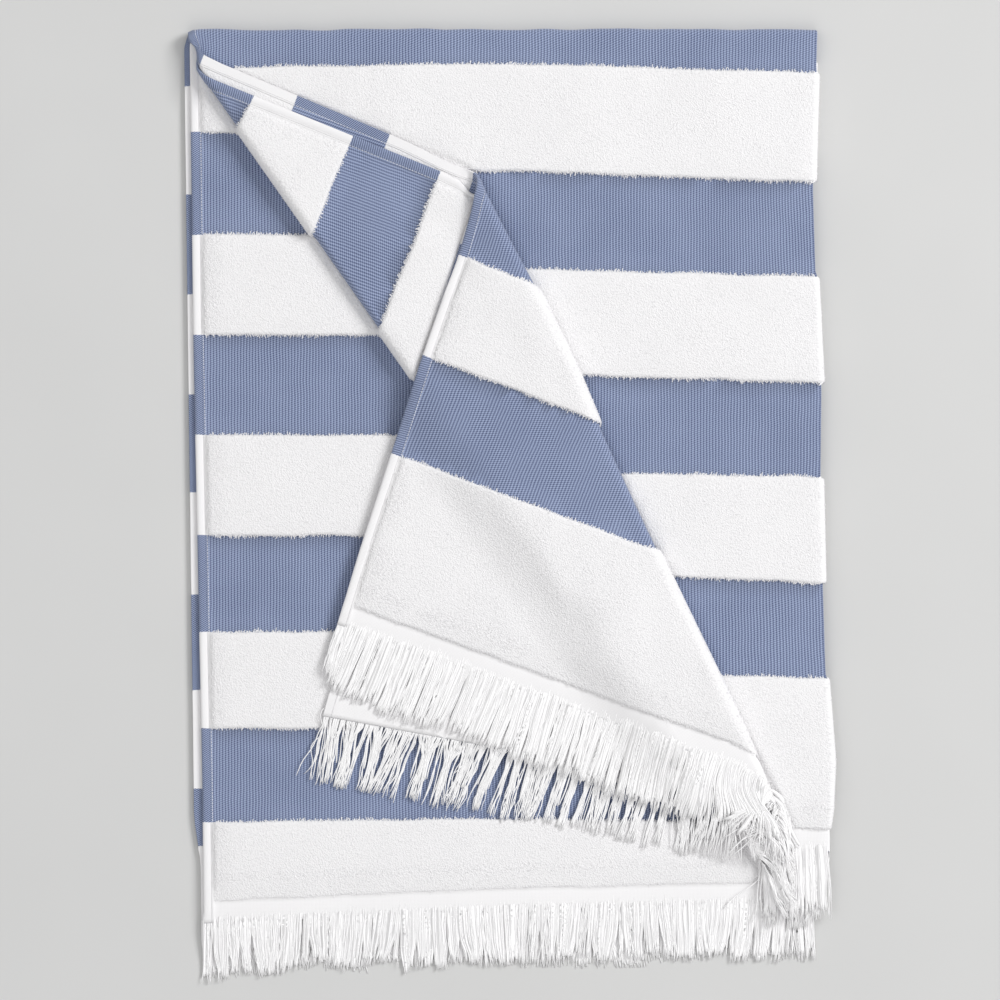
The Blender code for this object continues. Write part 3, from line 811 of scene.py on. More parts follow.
    def thinning(self, across: Array, along: Array) -> Array:
        """Share of the cloth's thickness: it thins out towards its ends, where the yarns leave the weave."""
        inside = np.minimum(
            self.edge_at(End.UPPER.value, across) - along, along - self.edge_at(End.LOWER.value, across)
        )
        return self.end_share + (1.0 - self.end_share) * smooth_step(inside / self.end_thinning)

    def unfold(self, x: float, y: float, layer: int, turned_back: bool = False) -> tuple[float, float]:
        """The flat point of a layer that lies at a place seen from above, beyond the arcs of its bends.

        Args:
            x, y: the place.
            layer: which one, counted from the top.
            turned_back: whether it lies in the part that both creases turn.

        Returns:
            Its across and along.
        """
        if turned_back:
            x, y = self.second.mirror(x, y, self.second.axis - (TURNED_1 if layer == 1 else TURNED_2))
            x, y = self.first.mirror(x, y, self.first.axis - (LAYER_1 if layer == 1 else LAYER_2))
        away = FOLD_X - x + SIDE_ARC
        return (-away if layer == 1 else away), (y - TOP_Y if layer == 3 else TOP_Y - y)


@dataclass
class FlatSheet:
    """A flat triangle mesh that can be scored along straight lines, so that bends fall on its edges."""

    points: Array
    faces: Array
    snap: float = 1e-5

    @classmethod
    def from_grid(cls, grid: Array) -> FlatSheet:
        """Join a grid of points with two triangles to a cell.

        Args:
            grid: the flat points, rows by columns.

        Returns:
            The sheet.
        """
        rows, columns = grid.shape[:2]
        index = np.arange(rows * columns).reshape(rows, columns)
        a, b, c, d = index[:-1, :-1], index[:-1, 1:], index[1:, 1:], index[1:, :-1]
        one = np.stack([a, b, c], axis=-1).reshape(-1, 3)
        two = np.stack([a, c, d], axis=-1).reshape(-1, 3)
        return cls(grid.reshape(-1, 2).copy(), np.concatenate([one, two]))

    def score(self, start: tuple, end: tuple, within: Array | None = None) -> None:
        """Cut every triangle edge that a straight line crosses, and split the triangles there.

        The distance of each point from the line is worked out, and an edge whose ends lie on either side gets
        a new point where that distance is nought. A triangle with one cut edge becomes two, with two, three.

        Args:
            start, end: two places on the line.
            within: which points the cut may run between, or all of them.
        """
        x, y = self.points.T
        normal = np.array([start[1] - end[1], end[0] - start[0]])
        normal = normal / np.linalg.norm(normal)
        distance = (x - start[0]) * normal[0] + (y - start[1]) * normal[1]
        distance = np.where(np.abs(distance) < self.snap, 0.0, distance)
        allowed = np.ones(len(x), bool) if within is None else within
        sides = np.stack([self.faces, np.roll(self.faces, -1, axis=1)], axis=-1)
        one, two = sides[..., 0], sides[..., 1]
        cut = (distance[one] * distance[two] < 0) & allowed[one] & allowed[two]
        if not cut.any():
            return
        low, high = np.minimum(one, two), np.maximum(one, two)
        keys, place = np.unique((low * len(x) + high)[cut], return_inverse=True)
        low, high = keys // len(x), keys % len(x)
        share = (distance[low] / (distance[low] - distance[high]))[:, None]
        fresh = self.points[low] + share * (self.points[high] - self.points[low])
        new = np.full(cut.shape, -1)
        new[cut] = len(x) + place
        self.points = np.concatenate([self.points, fresh])
        self.faces = self._split(new)

    def _split(self, new: Array) -> Array:
        """Split the triangles whose edges carry a new point.

        Args:
            new: the point on each triangle's three edges, or -1.

        Returns:
            The corners of all triangles.
        """
        count = (new >= 0).sum(axis=1)
        kept = [self.faces[count == 0]]
        for turn in range(3):
            face, mark = np.roll(self.faces, -turn, axis=1), np.roll(new, -turn, axis=1)
            single = (count == 1) & (mark[:, 0] >= 0)
            a, b, c, m = *face[single].T, mark[single, 0]
            kept += [np.stack([a, m, c], axis=1), np.stack([m, b, c], axis=1)]
            double = (count == 2) & (mark[:, 2] < 0)
            a, b, c, m, n = *face[double].T, mark[double, 0], mark[double, 1]
            kept += [np.stack(corner, axis=1) for corner in ((m, b, n), (a, m, n), (a, n, c))]
        return np.concatenate(kept)

    def quarter(self, strip: Strip, way: int, top: float) -> Array:
        """Which points lie on one strip of the upper or lower pair, its borders included.

        Args:
            strip: the outer or the inner one.
            way: 1 for the upper pair, -1 for the lower.
            top: where the pair begins, along.

        Returns:
            A mark for each point.
        """
        x, y = self.points.T
        return (x * strip.value >= -self.snap) & (y * way >= way * top - self.snap)

    def rim(self) -> Array:
        """The edges that belong to one triangle only.

        Returns:
            Their two ends, in the direction of that triangle.
        """
        sides = np.concatenate([self.faces[:, [0, 1]], self.faces[:, [1, 2]], self.faces[:, [2, 0]]])
        keys = np.sort(sides, axis=1) @ np.array([len(self.points), 1])
        _, first, count = np.unique(keys, return_index=True, return_counts=True)
        return sides[first[count == 1]]


def new_piece(
    name: str,
    points: Array,
    faces: Array,
    flat: Array | None = None,
    numbers: dict[str, Array] | None = None,
    smooth: bool = True,
) -> bpy.types.Object:
    """Make a mesh object from whole arrays.

    Args:
        name: the piece's name.
        points: one row a point.
        faces: one row of corners a face, all with the same count.
        flat: each point's flat place, for the UV map.
        numbers: named numbers, one a point.
        smooth: whether its faces are shaded as one curved surface.

    Returns:
        The object, linked to the scene.
    """
    mesh = bpy.data.meshes.new(name)
    corners = faces.shape[1]
    mesh.vertices.add(len(points))
    mesh.vertices.foreach_set("co", points.astype(np.float32).ravel())
    mesh.loops.add(faces.size)
    mesh.loops.foreach_set("vertex_index", faces.astype(np.int32).ravel())
    mesh.polygons.add(len(faces))
    mesh.polygons.foreach_set("loop_start", np.arange(0, faces.size, corners, dtype=np.int32))
    mesh.update(calc_edges=True)
    if flat is not None:
        layer = mesh.uv_layers.new(name="flat")
        layer.data.foreach_set("uv", flat[faces.ravel()].astype(np.float32).ravel())
    for label, values in (numbers or {}).items():
        attribute = mesh.attributes.new(label, "FLOAT", "POINT")
        attribute.data.foreach_set("value", values.astype(np.float32).ravel())
    mesh.validate()
    if smooth:
        mesh.shade_smooth()
    obj = bpy.data.objects.new(name, mesh)
    bpy.context.scene.collection.objects.link(obj)
    return obj


@dataclass
class Cloth:
    """The towel's cloth: one closed sheet with a pile side and a plain back."""

    towel: Towel
    columns: int = 76
    rows_in_band: int = 4
    outer_bend: tuple[float, ...] = (0.0, 0.14, 0.29, 0.43, 0.57, 0.71, 0.86, 1.0)
    inner_bend: tuple[float, ...] = (0.0, 0.17, 0.33, 0.5, 0.67, 0.83, 1.0)
    top_scores: tuple[float, ...] = (-0.0059, -0.0044, -0.003, -0.0015, 0.0, 0.0015, 0.003, 0.0044, 0.0059)
    turned_scores: tuple[float, ...] = (
        -0.0100, -0.0085, -0.0070, -0.0055, -0.0040, -0.0025, -0.0010, 0.0005, 0.0020,
    )
    roll_scores: tuple[float, ...] = (0.25, 0.5, 0.75, 1.0)
    step_scores: int = 8
    cover_scores: int = 5
    cover_lead: float = -0.003
    hem_columns: tuple[float, ...] = (0.0, 0.0006, 0.0022, 0.0058, 0.0068, 0.0076, 0.0080, 0.0088)
    first_column: float = 0.0125

    def rows(self) -> list[tuple[int, float, float]]:
        """The grid's rows: even ones inside each stripe, and close ones over the rise of the pile.

        Returns:
            For each, the stripe edge above it, its share of the way to the next, and a shift.
        """
        insets = [row[0] for row in self.towel.edge_profile]
        rows = [(0, 0.0, 0.0)]
        last = len(self.towel.edges) - 1
        shares = np.linspace(0, 1, self.rows_in_band + 2)[1:-1]
        for edge in range(last):
            rows += [(edge, share, 0.0) for share in shares]
            if edge + 1 < last:
                terry_below = edge % 2 == 0
                shifts = [-inset if terry_below else inset for inset in insets]
                rows += [(edge + 1, 0.0, shift) for shift in sorted(shifts, reverse=True)]
        return rows + [(last, 0.0, 0.0)]

    def grid(self) -> Array:
        """The flat grid: across runs from hem to hem in each row, and along follows the stripe edges.

        A row's along is the mean of the two stripe edges that it lies between, weighted by its share.

        Returns:
            The flat points, rows by columns.
        """
        edges = self.towel.edges
        inset = np.array(self.hem_columns)
        lines = []
        for edge, share, shift in self.rows():
            following = min(edge + 1, len(edges) - 1)
            at_outer = edges[edge][1] * (1 - share) + edges[following][1] * share
            at_inner = edges[edge][5] * (1 - share) + edges[following][5] * share
            outer = float(self.towel.hem_width(-1, at_outer))
            inner = float(self.towel.hem_width(1, at_inner))
            middle = np.linspace(-outer + self.first_column, inner - self.first_column, self.columns)
            across = np.concatenate([-outer + inset, middle, (inner - inset)[::-1]])
            near = self.towel.edge_at(edge, across)
            far = self.towel.edge_at(following, across)
            lines.append(np.stack([across, near * (1 - share) + far * share + shift], axis=-1))
        return np.stack(lines)

    def score_folds(self, sheet: FlatSheet) -> None:
        """Score the whole sheet along the right fold and the top fold.

        Args:
            sheet: the flat sheet.
        """
        for share in self.outer_bend:
            at = (2 * share - 1) * SIDE_ARC
            sheet.score((at, 0.0), (at, 1.0))
        for along in self.top_scores:
            sheet.score((0.0, along), (1.0, along))

    def score_creases(self, sheet: FlatSheet) -> None:
        """Score the upper pair's two strips along both creases, and where the part turned back comes down.

        Args:
            sheet: the flat sheet.
        """
        towel = self.towel
        first, second = towel.first, towel.second
        across_2 = Crease(second.x, second.y, second.slope - math.pi / 2, -1, 0.0)
        top = self.top_scores[-1]
        for layer, strip in ((1, Strip.OUTER), (2, Strip.INNER)):
            bends = (self.inner_bend, self.outer_bend) if layer == 1 else (self.outer_bend, self.inner_bend)
            radius = first.axis - (LAYER_1 if layer == 1 else LAYER_2)
            arc_2 = math.pi * (second.axis - (TURNED_1 if layer == 1 else TURNED_2))
            turned = [share * (arc_2 + math.pi * towel.roll / 2) for share in bends[1]]
            turned += [arc_2 + math.pi * towel.roll]
            lines = [[towel.unfold(*p, layer) for p in first.beside(s * math.pi * radius)] for s in bends[0]]
            places = [second.beside(run) for run in turned]
            places += [across_2.beside(row[0]) for row in towel.back_sway[1:-1]]
            lines += [[towel.unfold(*first.mirror(*p, radius), layer) for p in pair] for pair in places]
            places = [
                first.beside(towel.step_start + share * towel.step_length)
                for share in np.linspace(0.0, 1.0, self.step_scores)
            ]
            places += [second.beside(-share * towel.roll_ease) for share in self.roll_scores]
            lines += [[towel.unfold(*p, layer, turned_back=True) for p in pair] for pair in places]
            for start, end in lines:
                sheet.score(start, end, sheet.quarter(strip, 1, top))

    def score_covers(self, sheet: FlatSheet) -> None:
        """Score the layers where the pile rises from under the one that covers it.

        Args:
            sheet: the flat sheet.
        """
        towel = self.towel
        top = self.top_scores[-1]
        hem = Crease(*towel.turned_hem, 1, 0.0)
        back = Crease(*towel.back_hem, -1, 0.0)
        for way in np.linspace(self.cover_lead, towel.rise_width, self.cover_scores):
            start, end = towel.first.beside(towel.layer_3_rise + way)
            below = sheet.quarter(Strip.INNER, -1, -top)
            sheet.score(towel.unfold(*start, 3), towel.unfold(*end, 3), below)
            for line, distance in ((towel.second, towel.layer_1_rise), (hem, towel.hem_rise_start)):
                start, end = line.beside(distance + way)
                upper = sheet.quarter(Strip.OUTER, 1, top)
                sheet.score(towel.unfold(*start, 1), towel.unfold(*end, 1), upper)
        radius = towel.first.axis - LAYER_2
        for way in self.turned_scores:
            start, end = (towel.unfold(*towel.first.mirror(*p, radius), 2) for p in back.beside(way))
            sheet.score(start, end, sheet.quarter(Strip.INNER, 1, top))

    def build(self) -> bpy.types.Object:
        """Make the folded cloth: its front, its back and the wall that closes them along the rim.

        Returns:
            The closed mesh, with its flat places as UV map and its distances from stripe edges and hem.
        """
        sheet = FlatSheet.from_grid(self.grid())
        self.score_folds(sheet)
        self.score_creases(sheet)
        self.score_covers(sheet)
        across, along = sheet.points.T
        front, _ = self.towel.fold(across, along, self.towel.front_height(across, along))
        back, _ = self.towel.fold(across, along, -CLOTH / 2 * self.towel.thinning(across, along))
        count = len(across)
        rim = sheet.rim()
        wall = np.concatenate([
            np.stack([rim[:, 1], rim[:, 0], rim[:, 0] + count], axis=1),
            np.stack([rim[:, 1], rim[:, 0] + count, rim[:, 1] + count], axis=1),
        ])
        faces = np.concatenate([sheet.faces, sheet.faces[:, ::-1] + count, wall])
        probe = sheet.points[sheet.faces[0]]
        one, two = probe[1] - probe[0], probe[2] - probe[0]
        if one[0] * two[1] - one[1] * two[0] < 0:
            faces = faces[:, ::-1]
        depths = {
            "terry": self.towel.terry_depth(across, along),
            "white": self.towel.white_depth(across, along),
            "hem": self.towel.hem_width(across, along) - np.abs(across),
        }
        twice = {
            name: np.tile(np.clip(depth * MILLIMETRES, -FAR, FAR), 2) for name, depth in depths.items()
        }
        points = np.concatenate([front, back])
        obj = new_piece("towel_cloth", points, faces, np.tile(sheet.points, (2, 1)), twice)
        LOG.info("towel_cloth: %d triangles", len(faces))
        return obj


@dataclass
class LoopPile:
    """The terry's loops, each a short bent strip, where they show: over the pile, or ragged at its edges."""

    towel: Towel
    spacing: float = 0.0020
    edge_spacing: float = 0.00055
    width: float = 0.00050
    rooted: float = 0.0003
    half_width: float = 0.51
    ends: tuple[float, float] = (-0.70, 0.68)
    least_open: float = 0.04
    clear_of_hem: float = 0.0088
    clear_of_edge: float = 0.0008
    length: tuple[float, float] = (0.0010, 0.0022)
    arch: tuple[float, float] = (0.0003, 0.0009)
    edge_inside: float = 0.0009
    edge_fan: float = 0.75
    edge_length: tuple[float, float] = (6.0, 0.00028)
    edge_limits: tuple[float, float] = (0.0007, 0.0034)
    edge_arch: tuple[float, float] = (0.0001, 0.0007)
    edge_drop: float = 0.0012
    seed: int = 21

    def in_the_open(self, across: Array, along: Array) -> Array:
        """Whether a flat place shows: its pile is free to stand, and it isn't on the lowest layer.

        Args:
            across, along: the flat places.

        Returns:
            A mark for each place.
        """
        _, state = self.towel.fold(across, along, np.zeros_like(across))
        lowest = state["outer"] & ~state["upper"]
        from_hem = self.towel.hem_width(across, along) - np.abs(across)
        is_open = self.towel.openness(across, along) > self.least_open
        return is_open & ~lowest & (from_hem > self.clear_of_hem)

    def strips(
        self, name: str, place: Array, heading: Array, length: Array, arch: Array, drop: Array
    ) -> bpy.types.Object:
        """Bend a strip at each place and fold it with the cloth.

        With t from 0 to 1 along a strip, its middle runs t times its length along its heading, and stands
        4 t (1 - t) times its arch above the pile, less t times its drop. Its two sides lie half a width off.

        Args:
            name: the piece's name.
            place: the flat places, one row each.
            heading: each strip's direction in the flat.
            length, arch, drop: its sizes.

        Returns:
            The joined mesh.
        """
        t = np.array([0.0, 0.5, 1.0])
        side = np.array([-0.5, 0.5]) * self.width
        base = self.towel.front_height(place[:, 0], place[:, 1])
        run = length[:, None] * t
        sine, cosine = np.sin(heading)[:, None, None], np.cos(heading)[:, None, None]
        across = place[:, :1, None] + run[..., None] * cosine - side * sine
        along = place[:, 1:, None] + run[..., None] * sine + side * cosine
        offset = base[:, None] - self.rooted + arch[:, None] * 4 * t * (1 - t) - drop[:, None] * t
        offset = np.broadcast_to(offset[..., None], across.shape)
        points, _ = self.towel.fold(across.ravel(), along.ravel(), offset.ravel())
        corners = t.size * side.size
        one = np.array([[0, 1, 3, 2], [2, 3, 5, 4]])
        faces = (one[None] + (np.arange(len(place)) * corners)[:, None, None]).reshape(-1, 4)
        tone = np.repeat(np.random.default_rng(self.seed).random(len(place)), corners)
        flat = np.stack([across.ravel(), along.ravel()], axis=-1)
        obj = new_piece(name, points, faces, flat, {"tone": tone})
        LOG.info("%s: %d loops, %d triangles", name, len(place), 2 * len(faces))
        return obj

    def build_field(self, name: str, strip: Strip) -> bpy.types.Object:
        """Scatter loops over the open terry of one strip: one in each cell of a grid, shifted by chance.

        Args:
            name: the piece's name.
            strip: the outer or the inner strip.

        Returns:
            The joined loops.
        """
        rng = np.random.default_rng(self.seed + strip.value)
        across = np.arange(0.0, self.half_width, self.spacing) * strip.value
        along = np.arange(*self.ends, self.spacing)
        place = np.stack(np.meshgrid(across, along), axis=-1).reshape(-1, 2)
        place = place + rng.uniform(-0.5, 0.5, place.shape) * self.spacing
        place = place[self.towel.terry_depth(*place.T) > self.clear_of_edge]
        place = place[self.in_the_open(*place.T)]
        count = len(place)
        heading = rng.uniform(0.0, 2.0 * math.pi, count)
        length = rng.uniform(*self.length, count)
        arch = rng.uniform(*self.arch, count)
        return self.strips(name, place, heading, length, arch, np.zeros(count))

    def build_edges(self, name: str) -> bpy.types.Object:
        """Hang ragged loops over the edges of every open stripe of terry.

        Args:
            name: the piece's name.

        Returns:
            The joined loops.
        """
        rng = np.random.default_rng(self.seed + 7)
        places, headings = [], []
        across = np.arange(-self.half_width, self.half_width, self.edge_spacing)
        for pair in self.towel.terry_bands:
            for edge, way in zip(pair, (1.0, -1.0)):
                at = across + rng.uniform(-0.5, 0.5, len(across)) * self.edge_spacing
                inside = rng.uniform(0.0, self.edge_inside, len(at))
                places.append(np.stack([at, self.towel.edge_at(edge, at) - way * inside], axis=-1))
                headings.append(way * math.pi / 2 + rng.normal(0.0, self.edge_fan, len(at)))
        place, heading = np.concatenate(places), np.concatenate(headings)
        shown = self.in_the_open(*place.T)
        place, heading = place[shown], heading[shown]
        count = len(place)
        length = rng.gamma(*self.edge_length, count).clip(*self.edge_limits)
        arch = rng.uniform(*self.edge_arch, count)
        return self.strips(name, place, heading, length, arch, rng.uniform(0.0, self.edge_drop, count))


@dataclass(frozen=True)
class Lie:
    """How the yarns of one strip lie: how strongly its locks draw together, and where along the yarns.

    A lock begins to draw together at one share of the yarns' length, is gathered over the next, and lets go
    by its flare. Its web stands for the fuzz that fills it: the share of wide thin strands, their width and
    their length. Then come the share of the length that yarns have beside the hem, how far their tips sink,
    how wavy they are, and how differently the locks lean.
    """

    draw: tuple[float, float]
    begin: float
    gather: float = 0.35
    flare: float = 0.35
    web: float = 0.42
    web_width: float = 0.0028
    web_length: float = 0.97
    at_hem: float = 1.0
    sink: float = 0.0
    wavy: float = 0.0004
    lean: float = 0.0008


@dataclass
class Fringe:
    """The loose yarns of one end, gathered in locks."""

    towel: Towel
    name: str
    end: End
    length: float
    outer: Lie
    inner: Lie
    bunched: float = 0.03
    yarns: int = 1600
    locks: int = 104
    steps: int = 13
    seed: int = 11
    # sizes of a yarn: its section, its slow roll, and how it begins on the weave and thins to its tip
    width: float = 0.00082
    thickness: float = 0.00024
    width_range: tuple[float, float] = (0.8, 1.25)
    roll: float = 0.05
    web_thickness: float = 0.4
    root_width: float = 0.25
    root_run: float = 0.006
    tip_thinning: float = 0.45
    # where it starts and how long it is
    inside_hem: float = 0.0004
    start_spread: float = 0.0003
    overlap: float = 0.0100
    overlap_range: tuple[float, float] = (0.5, 1.0)
    short_run: float = 0.024
    reach_spread: float = 0.03
    reach_limits: tuple[float, float] = (0.78, 1.12)
    web_range: tuple[float, float] = (0.85, 1.0)
    # how its lock carries it
    border_spread: float = 0.0045
    begin_range: tuple[float, float] = (0.7, 1.3)
    common_lean: float = 0.004
    let_go: float = 0.65
    loose_share: float = 0.18
    loose_draw: float = 0.35
    lock_bend: float = 0.0011
    lock_turns: float = 7.0
    # its own unevenness
    stray_share: float = 0.08
    stray: float = 0.004
    curl: float = 0.0012
    wander_turns: tuple[float, float] = (6.0, 18.0)
    rise_turns: tuple[float, float] = (6.0, 16.0)
    roll_turns: tuple[float, float] = (3.0, 9.0)
    uneven_rise: float = 0.00003
    levels: tuple[float, float] = (-0.0001, 0.00011)
    web_levels: tuple[float, float] = (-0.0001, 0.00003)
    # how high it lies over the weave, and how far past the weave it still does
    lift: float = 0.00015
    sunk_in_weave: float = 0.00018
    web_sunk: float = 0.00014
    web_level_share: float = 0.2
    weave_run: float = 0.010
    # how it lies past the cloth's end: flopped over, combed, sunk
    flop_run: float = 0.012
    flop_angle: float = 0.3
    comb_turned: float = -0.85
    comb_back: float = 0.65
    comb_width: tuple[float, float] = (0.090, 0.035)
    comb_root: float = 0.15
    comb_growth: float = 1.1
    sink_run: float = 0.018
    sink_end: float = -0.2540
    sink_ease: float = 0.014
    least_height: float = 0.0002

    def gather_locks(
        self, rng: np.random.Generator, start: Array, outer: float, inner: float
    ) -> dict[str, Array]:
        """Sort the yarns into locks and give each lock its habits.

        Args:
            rng: where chance comes from.
            start: where each yarn starts across the towel.
            outer, inner: the half widths of the end.

        Returns:
            The lock's numbers by name, a column of one a yarn.
        """
        count = self.locks
        borders = np.linspace(-outer, inner, count + 1)[1:-1] + rng.normal(0, self.border_spread, count - 1)
        lock = np.searchsorted(np.sort(borders), start)
        centres = np.array([start[lock == k].mean() if (lock == k).any() else 0.0 for k in range(count)])
        lies = [self.outer if centre < 0 else self.inner for centre in centres]
        names = [name for name in vars(self.outer) if name != "draw"]
        habits = {name: np.array([getattr(lie, name) for lie in lies]) for name in names}
        habits["draw"] = np.array([rng.uniform(*lie.draw) for lie in lies])
        habits["begin"] = habits["begin"] * rng.uniform(*self.begin_range, count)
        habits["centre"] = centres
        habits["lean"] = habits["lean"] * rng.normal(0.0, 1.0, count)
        habits["lean"] += self.common_lean * waves(centres, 0.0, (0.05, 0.2), self.seed + 1)
        bunches = self.bunched * waves(centres, 0.0, (0.04, 0.15), self.seed)
        habits["reach"] = rng.normal(1.0, self.reach_spread, count) + bunches
        habits["ripple"] = rng.uniform(0.0, 2 * math.pi, count)
        return {name: values[lock][:, None] for name, values in habits.items()}

    def sideways(
        self, rng: np.random.Generator, start: Array, lock: dict[str, Array], web: Array, s: Array
    ) -> Array:
        """Where the middle of each yarn runs across the towel.

        Its lock draws it towards the lock's middle, most where the lock is tied closest by its own twist, and
        lets go a little at the tips. Slow waves of the lock and of the yarn, a curl of its tip, the lock's
        lean and a few strays carry it sideways.

        Args:
            rng: where chance comes from.
            start: where each yarn starts.
            lock: the numbers of its lock.
            web: which strands are web.
            s: share of the length, 0 at the root.

        Returns:
            The places across, yarns by steps.
        """
        one_each = start.shape
        has_strayed = (rng.random(one_each) < self.stray_share) & ~web
        stray = np.where(has_strayed, rng.normal(0.0, self.stray, one_each), 0.0)
        let_go = smooth_step((s - self.let_go) / (1.0 - self.let_go))
        gathered = smooth_step((s - lock["begin"]) / lock["gather"]) * (1.0 - lock["flare"] * let_go)
        loose = np.where(rng.random(one_each) < self.loose_share, self.loose_draw, 1.0)
        pull = lock["draw"] * loose * (lock["centre"] - start) * gathered
        bend = self.lock_bend * lock["draw"] * np.sin(self.lock_turns * s + lock["ripple"]) * s
        wander = rng.normal(0.0, 1.0, one_each) * lock["wavy"]
        wander = wander * np.sin(s * rng.uniform(*self.wander_turns, one_each))
        curl = rng.normal(0.0, self.curl, one_each) * s**3
        return start + pull + bend + np.where(web, 0.0, wander + curl) + (lock["lean"] + stray) * s**1.5

    def heights(
        self,
        rng: np.random.Generator,
        run: Array,
        surface: Array,
        lock: dict[str, Array],
        web: Array,
        s: Array,
    ) -> Array:
        """How far each yarn's middle lies above the cloth's middle.

        It lies on the weave for a short way and comes down to the cloth's middle beyond it, at its own level.

        Args:
            rng: where chance comes from.
            run: distance along each yarn past the cloth's end.
            surface: the cloth's front there.
            lock: the numbers of its lock.
            web: which strands are web.
            s: share of the length, 0 at the root.

        Returns:
            The heights, yarns by steps.
        """
        one_each = web.shape
        level = rng.uniform(*self.levels, one_each)
        level = np.where(web, rng.uniform(*self.web_levels, one_each), level)
        sunk = np.where(web, self.web_sunk - self.web_level_share * level, self.sunk_in_weave)
        lift = self.lift * smooth_step((run + self.overlap) / self.overlap) - sunk
        on_weave = smooth_step((self.weave_run - run) / self.weave_run)
        rise = level * (1.0 - 0.5 * on_weave) + (surface + lift) * on_weave
        turns = rng.uniform(*self.rise_turns, one_each)
        return rise + np.where(web, 0.0, self.uneven_rise) * np.sin(s * turns + lock["ripple"])

    def corners(
        self,
        rng: np.random.Generator,
        middle: tuple[Array, Array],
        from_root: Array,
        lock: dict[str, Array],
        web: Array,
        s: Array,
    ) -> tuple[Array, Array]:
        """The four corners of each yarn's flat section, which rolls a little.

        Args:
            rng: where chance comes from.
            middle: where the yarn's middle lies across the towel, and how high.
            from_root: distance along each yarn from where it begins on the weave.
            lock: the numbers of its lock.
            web: which strands are web.
            s: share of the length, 0 at the root.

        Returns:
            The corners' places across and their heights, yarns by steps by four.
        """
        one_each = web.shape
        even = self.root_width + (1.0 - self.root_width) * smooth_step(from_root / self.root_run)
        wide = even * (1.0 - self.tip_thinning * s**4) * np.where(web, lock["web_width"], self.width)
        wide = wide * rng.uniform(*self.width_range, one_each) / 2
        high = np.where(web, self.web_thickness, 1.0) * self.thickness / 2
        roll = rng.normal(0.0, self.roll, one_each)
        roll = roll * np.cos(s * rng.uniform(*self.roll_turns, one_each) + lock["ripple"])
        roll = np.where(web, 0.0, roll)[..., None]
        wide = wide[..., None] * np.array([1.0, -1.0, -1.0, 1.0])
        high = high[..., None] * np.array([1.0, 1.0, -1.0, -1.0])
        across = middle[0][..., None] + wide * np.cos(roll) - high * np.sin(roll)
        return across, middle[1][..., None] + wide * np.sin(roll) + high * np.cos(roll)

    def bends_at_root(self, state: dict[str, Array], run: Array) -> tuple[Array, Array]:
        """The most that each crease may bend a yarn: as much as its root, until it flops out or over.

        Args:
            state: what folding told of the roots.
            run: distance along each yarn past the cloth's end.

        Returns:
            The two angles at each step.
        """
        most = []
        for name in ("angle_1", "angle_2"):
            root = state[name]
            rest = np.where(root > self.flop_angle, math.pi, 0.0)
            free = root + (rest - root) * smooth_step(run / self.flop_run)
            most.append(np.where(run > 0, free, math.pi))
        return most[0], most[1]

    def comb(self, points: Array, root: Array, state: dict[str, Array], run: Array) -> Array:
        """Fan out the yarns beside the foot of the second crease.

        Each yarn is turned about its root, more towards its tip and more the nearer the root lies to the
        crease: one way where only the first crease has turned the cloth, the other way where both have.

        Args:
            points: the folded points, yarns by steps by corners.
            root: each yarn's folded root.
            state: what folding told of the roots.
            run: distance along each yarn past the cloth's end.

        Returns:
            The points after combing.
        """
        from_crease = np.abs(beyond(self.towel.second.line, root[..., 0], root[..., 1]))
        width = np.where(state["angle_2"] > 0, *self.comb_width[::-1])
        near = smooth_step(state["angle_1"] / self.flop_angle) * smooth_step(1.0 - from_crease / width)
        way = self.comb_turned + (self.comb_back - self.comb_turned) * smooth_step(state["angle_2"] / math.pi)
        growth = smooth_step(run / self.length * self.comb_growth + self.comb_root)
        turn = (near * way * growth * (run > 0))[..., None]
        x, y = points[..., 0] - root[..., None, 0], points[..., 1] - root[..., None, 1]
        turned_x = root[..., None, 0] + x * np.cos(turn) - y * np.sin(turn)
        turned_y = root[..., None, 1] + x * np.sin(turn) + y * np.cos(turn)
        return np.stack([turned_x, turned_y, points[..., 2]], axis=-1)

    def build(self) -> bpy.types.Object:
        """Make the yarns as tubes over a grid of steps by four.

        Each yarn starts at its own place on the cloth's end, as a fine thread on the weave, and runs
        outwards. At each step four points lie round its middle, as the corners of its section. All of it is
        then folded, combed, sunk where it is turned back, as deep as its lock says, and kept above the floor.

        Returns:
            The joined mesh of all the yarns.
        """
        rng = np.random.default_rng(self.seed)
        one_each = (self.yarns, 1)
        way = 1.0 if self.end is End.UPPER else -1.0
        ends = self.towel.edges[self.end.value]
        outer = float(self.towel.hem_width(-1, ends[1])) - self.inside_hem
        inner = float(self.towel.hem_width(1, ends[5])) - self.inside_hem
        start = np.linspace(-outer, inner, self.yarns) + rng.normal(0.0, self.start_spread, self.yarns)
        start = np.clip(start, -outer, inner)
        lock = self.gather_locks(rng, start, outer, inner)
        start = start[:, None]
        web = rng.random(one_each) < lock["web"]
        s = np.linspace(0.0, 1.0, self.steps + 1)[None, :]
        centre_x = self.sideways(rng, start, lock, web, s)

        from_hem = np.minimum(start + outer, inner - start)
        reach = np.clip(lock["reach"] * rng.normal(1.0, self.reach_spread, one_each), *self.reach_limits)
        reach = reach * (lock["at_hem"] + (1.0 - lock["at_hem"]) * smooth_step(from_hem / self.short_run))
        web_length = lock["web_length"] * rng.uniform(*self.web_range, one_each)
        length = self.length * reach * np.where(web, web_length, 1.0)
        inset = self.overlap * rng.uniform(*self.overlap_range, one_each)
        run = -inset + (length + inset) * s
        edge = self.towel.edge_at(self.end.value, start)
        centre_y = edge + way * run

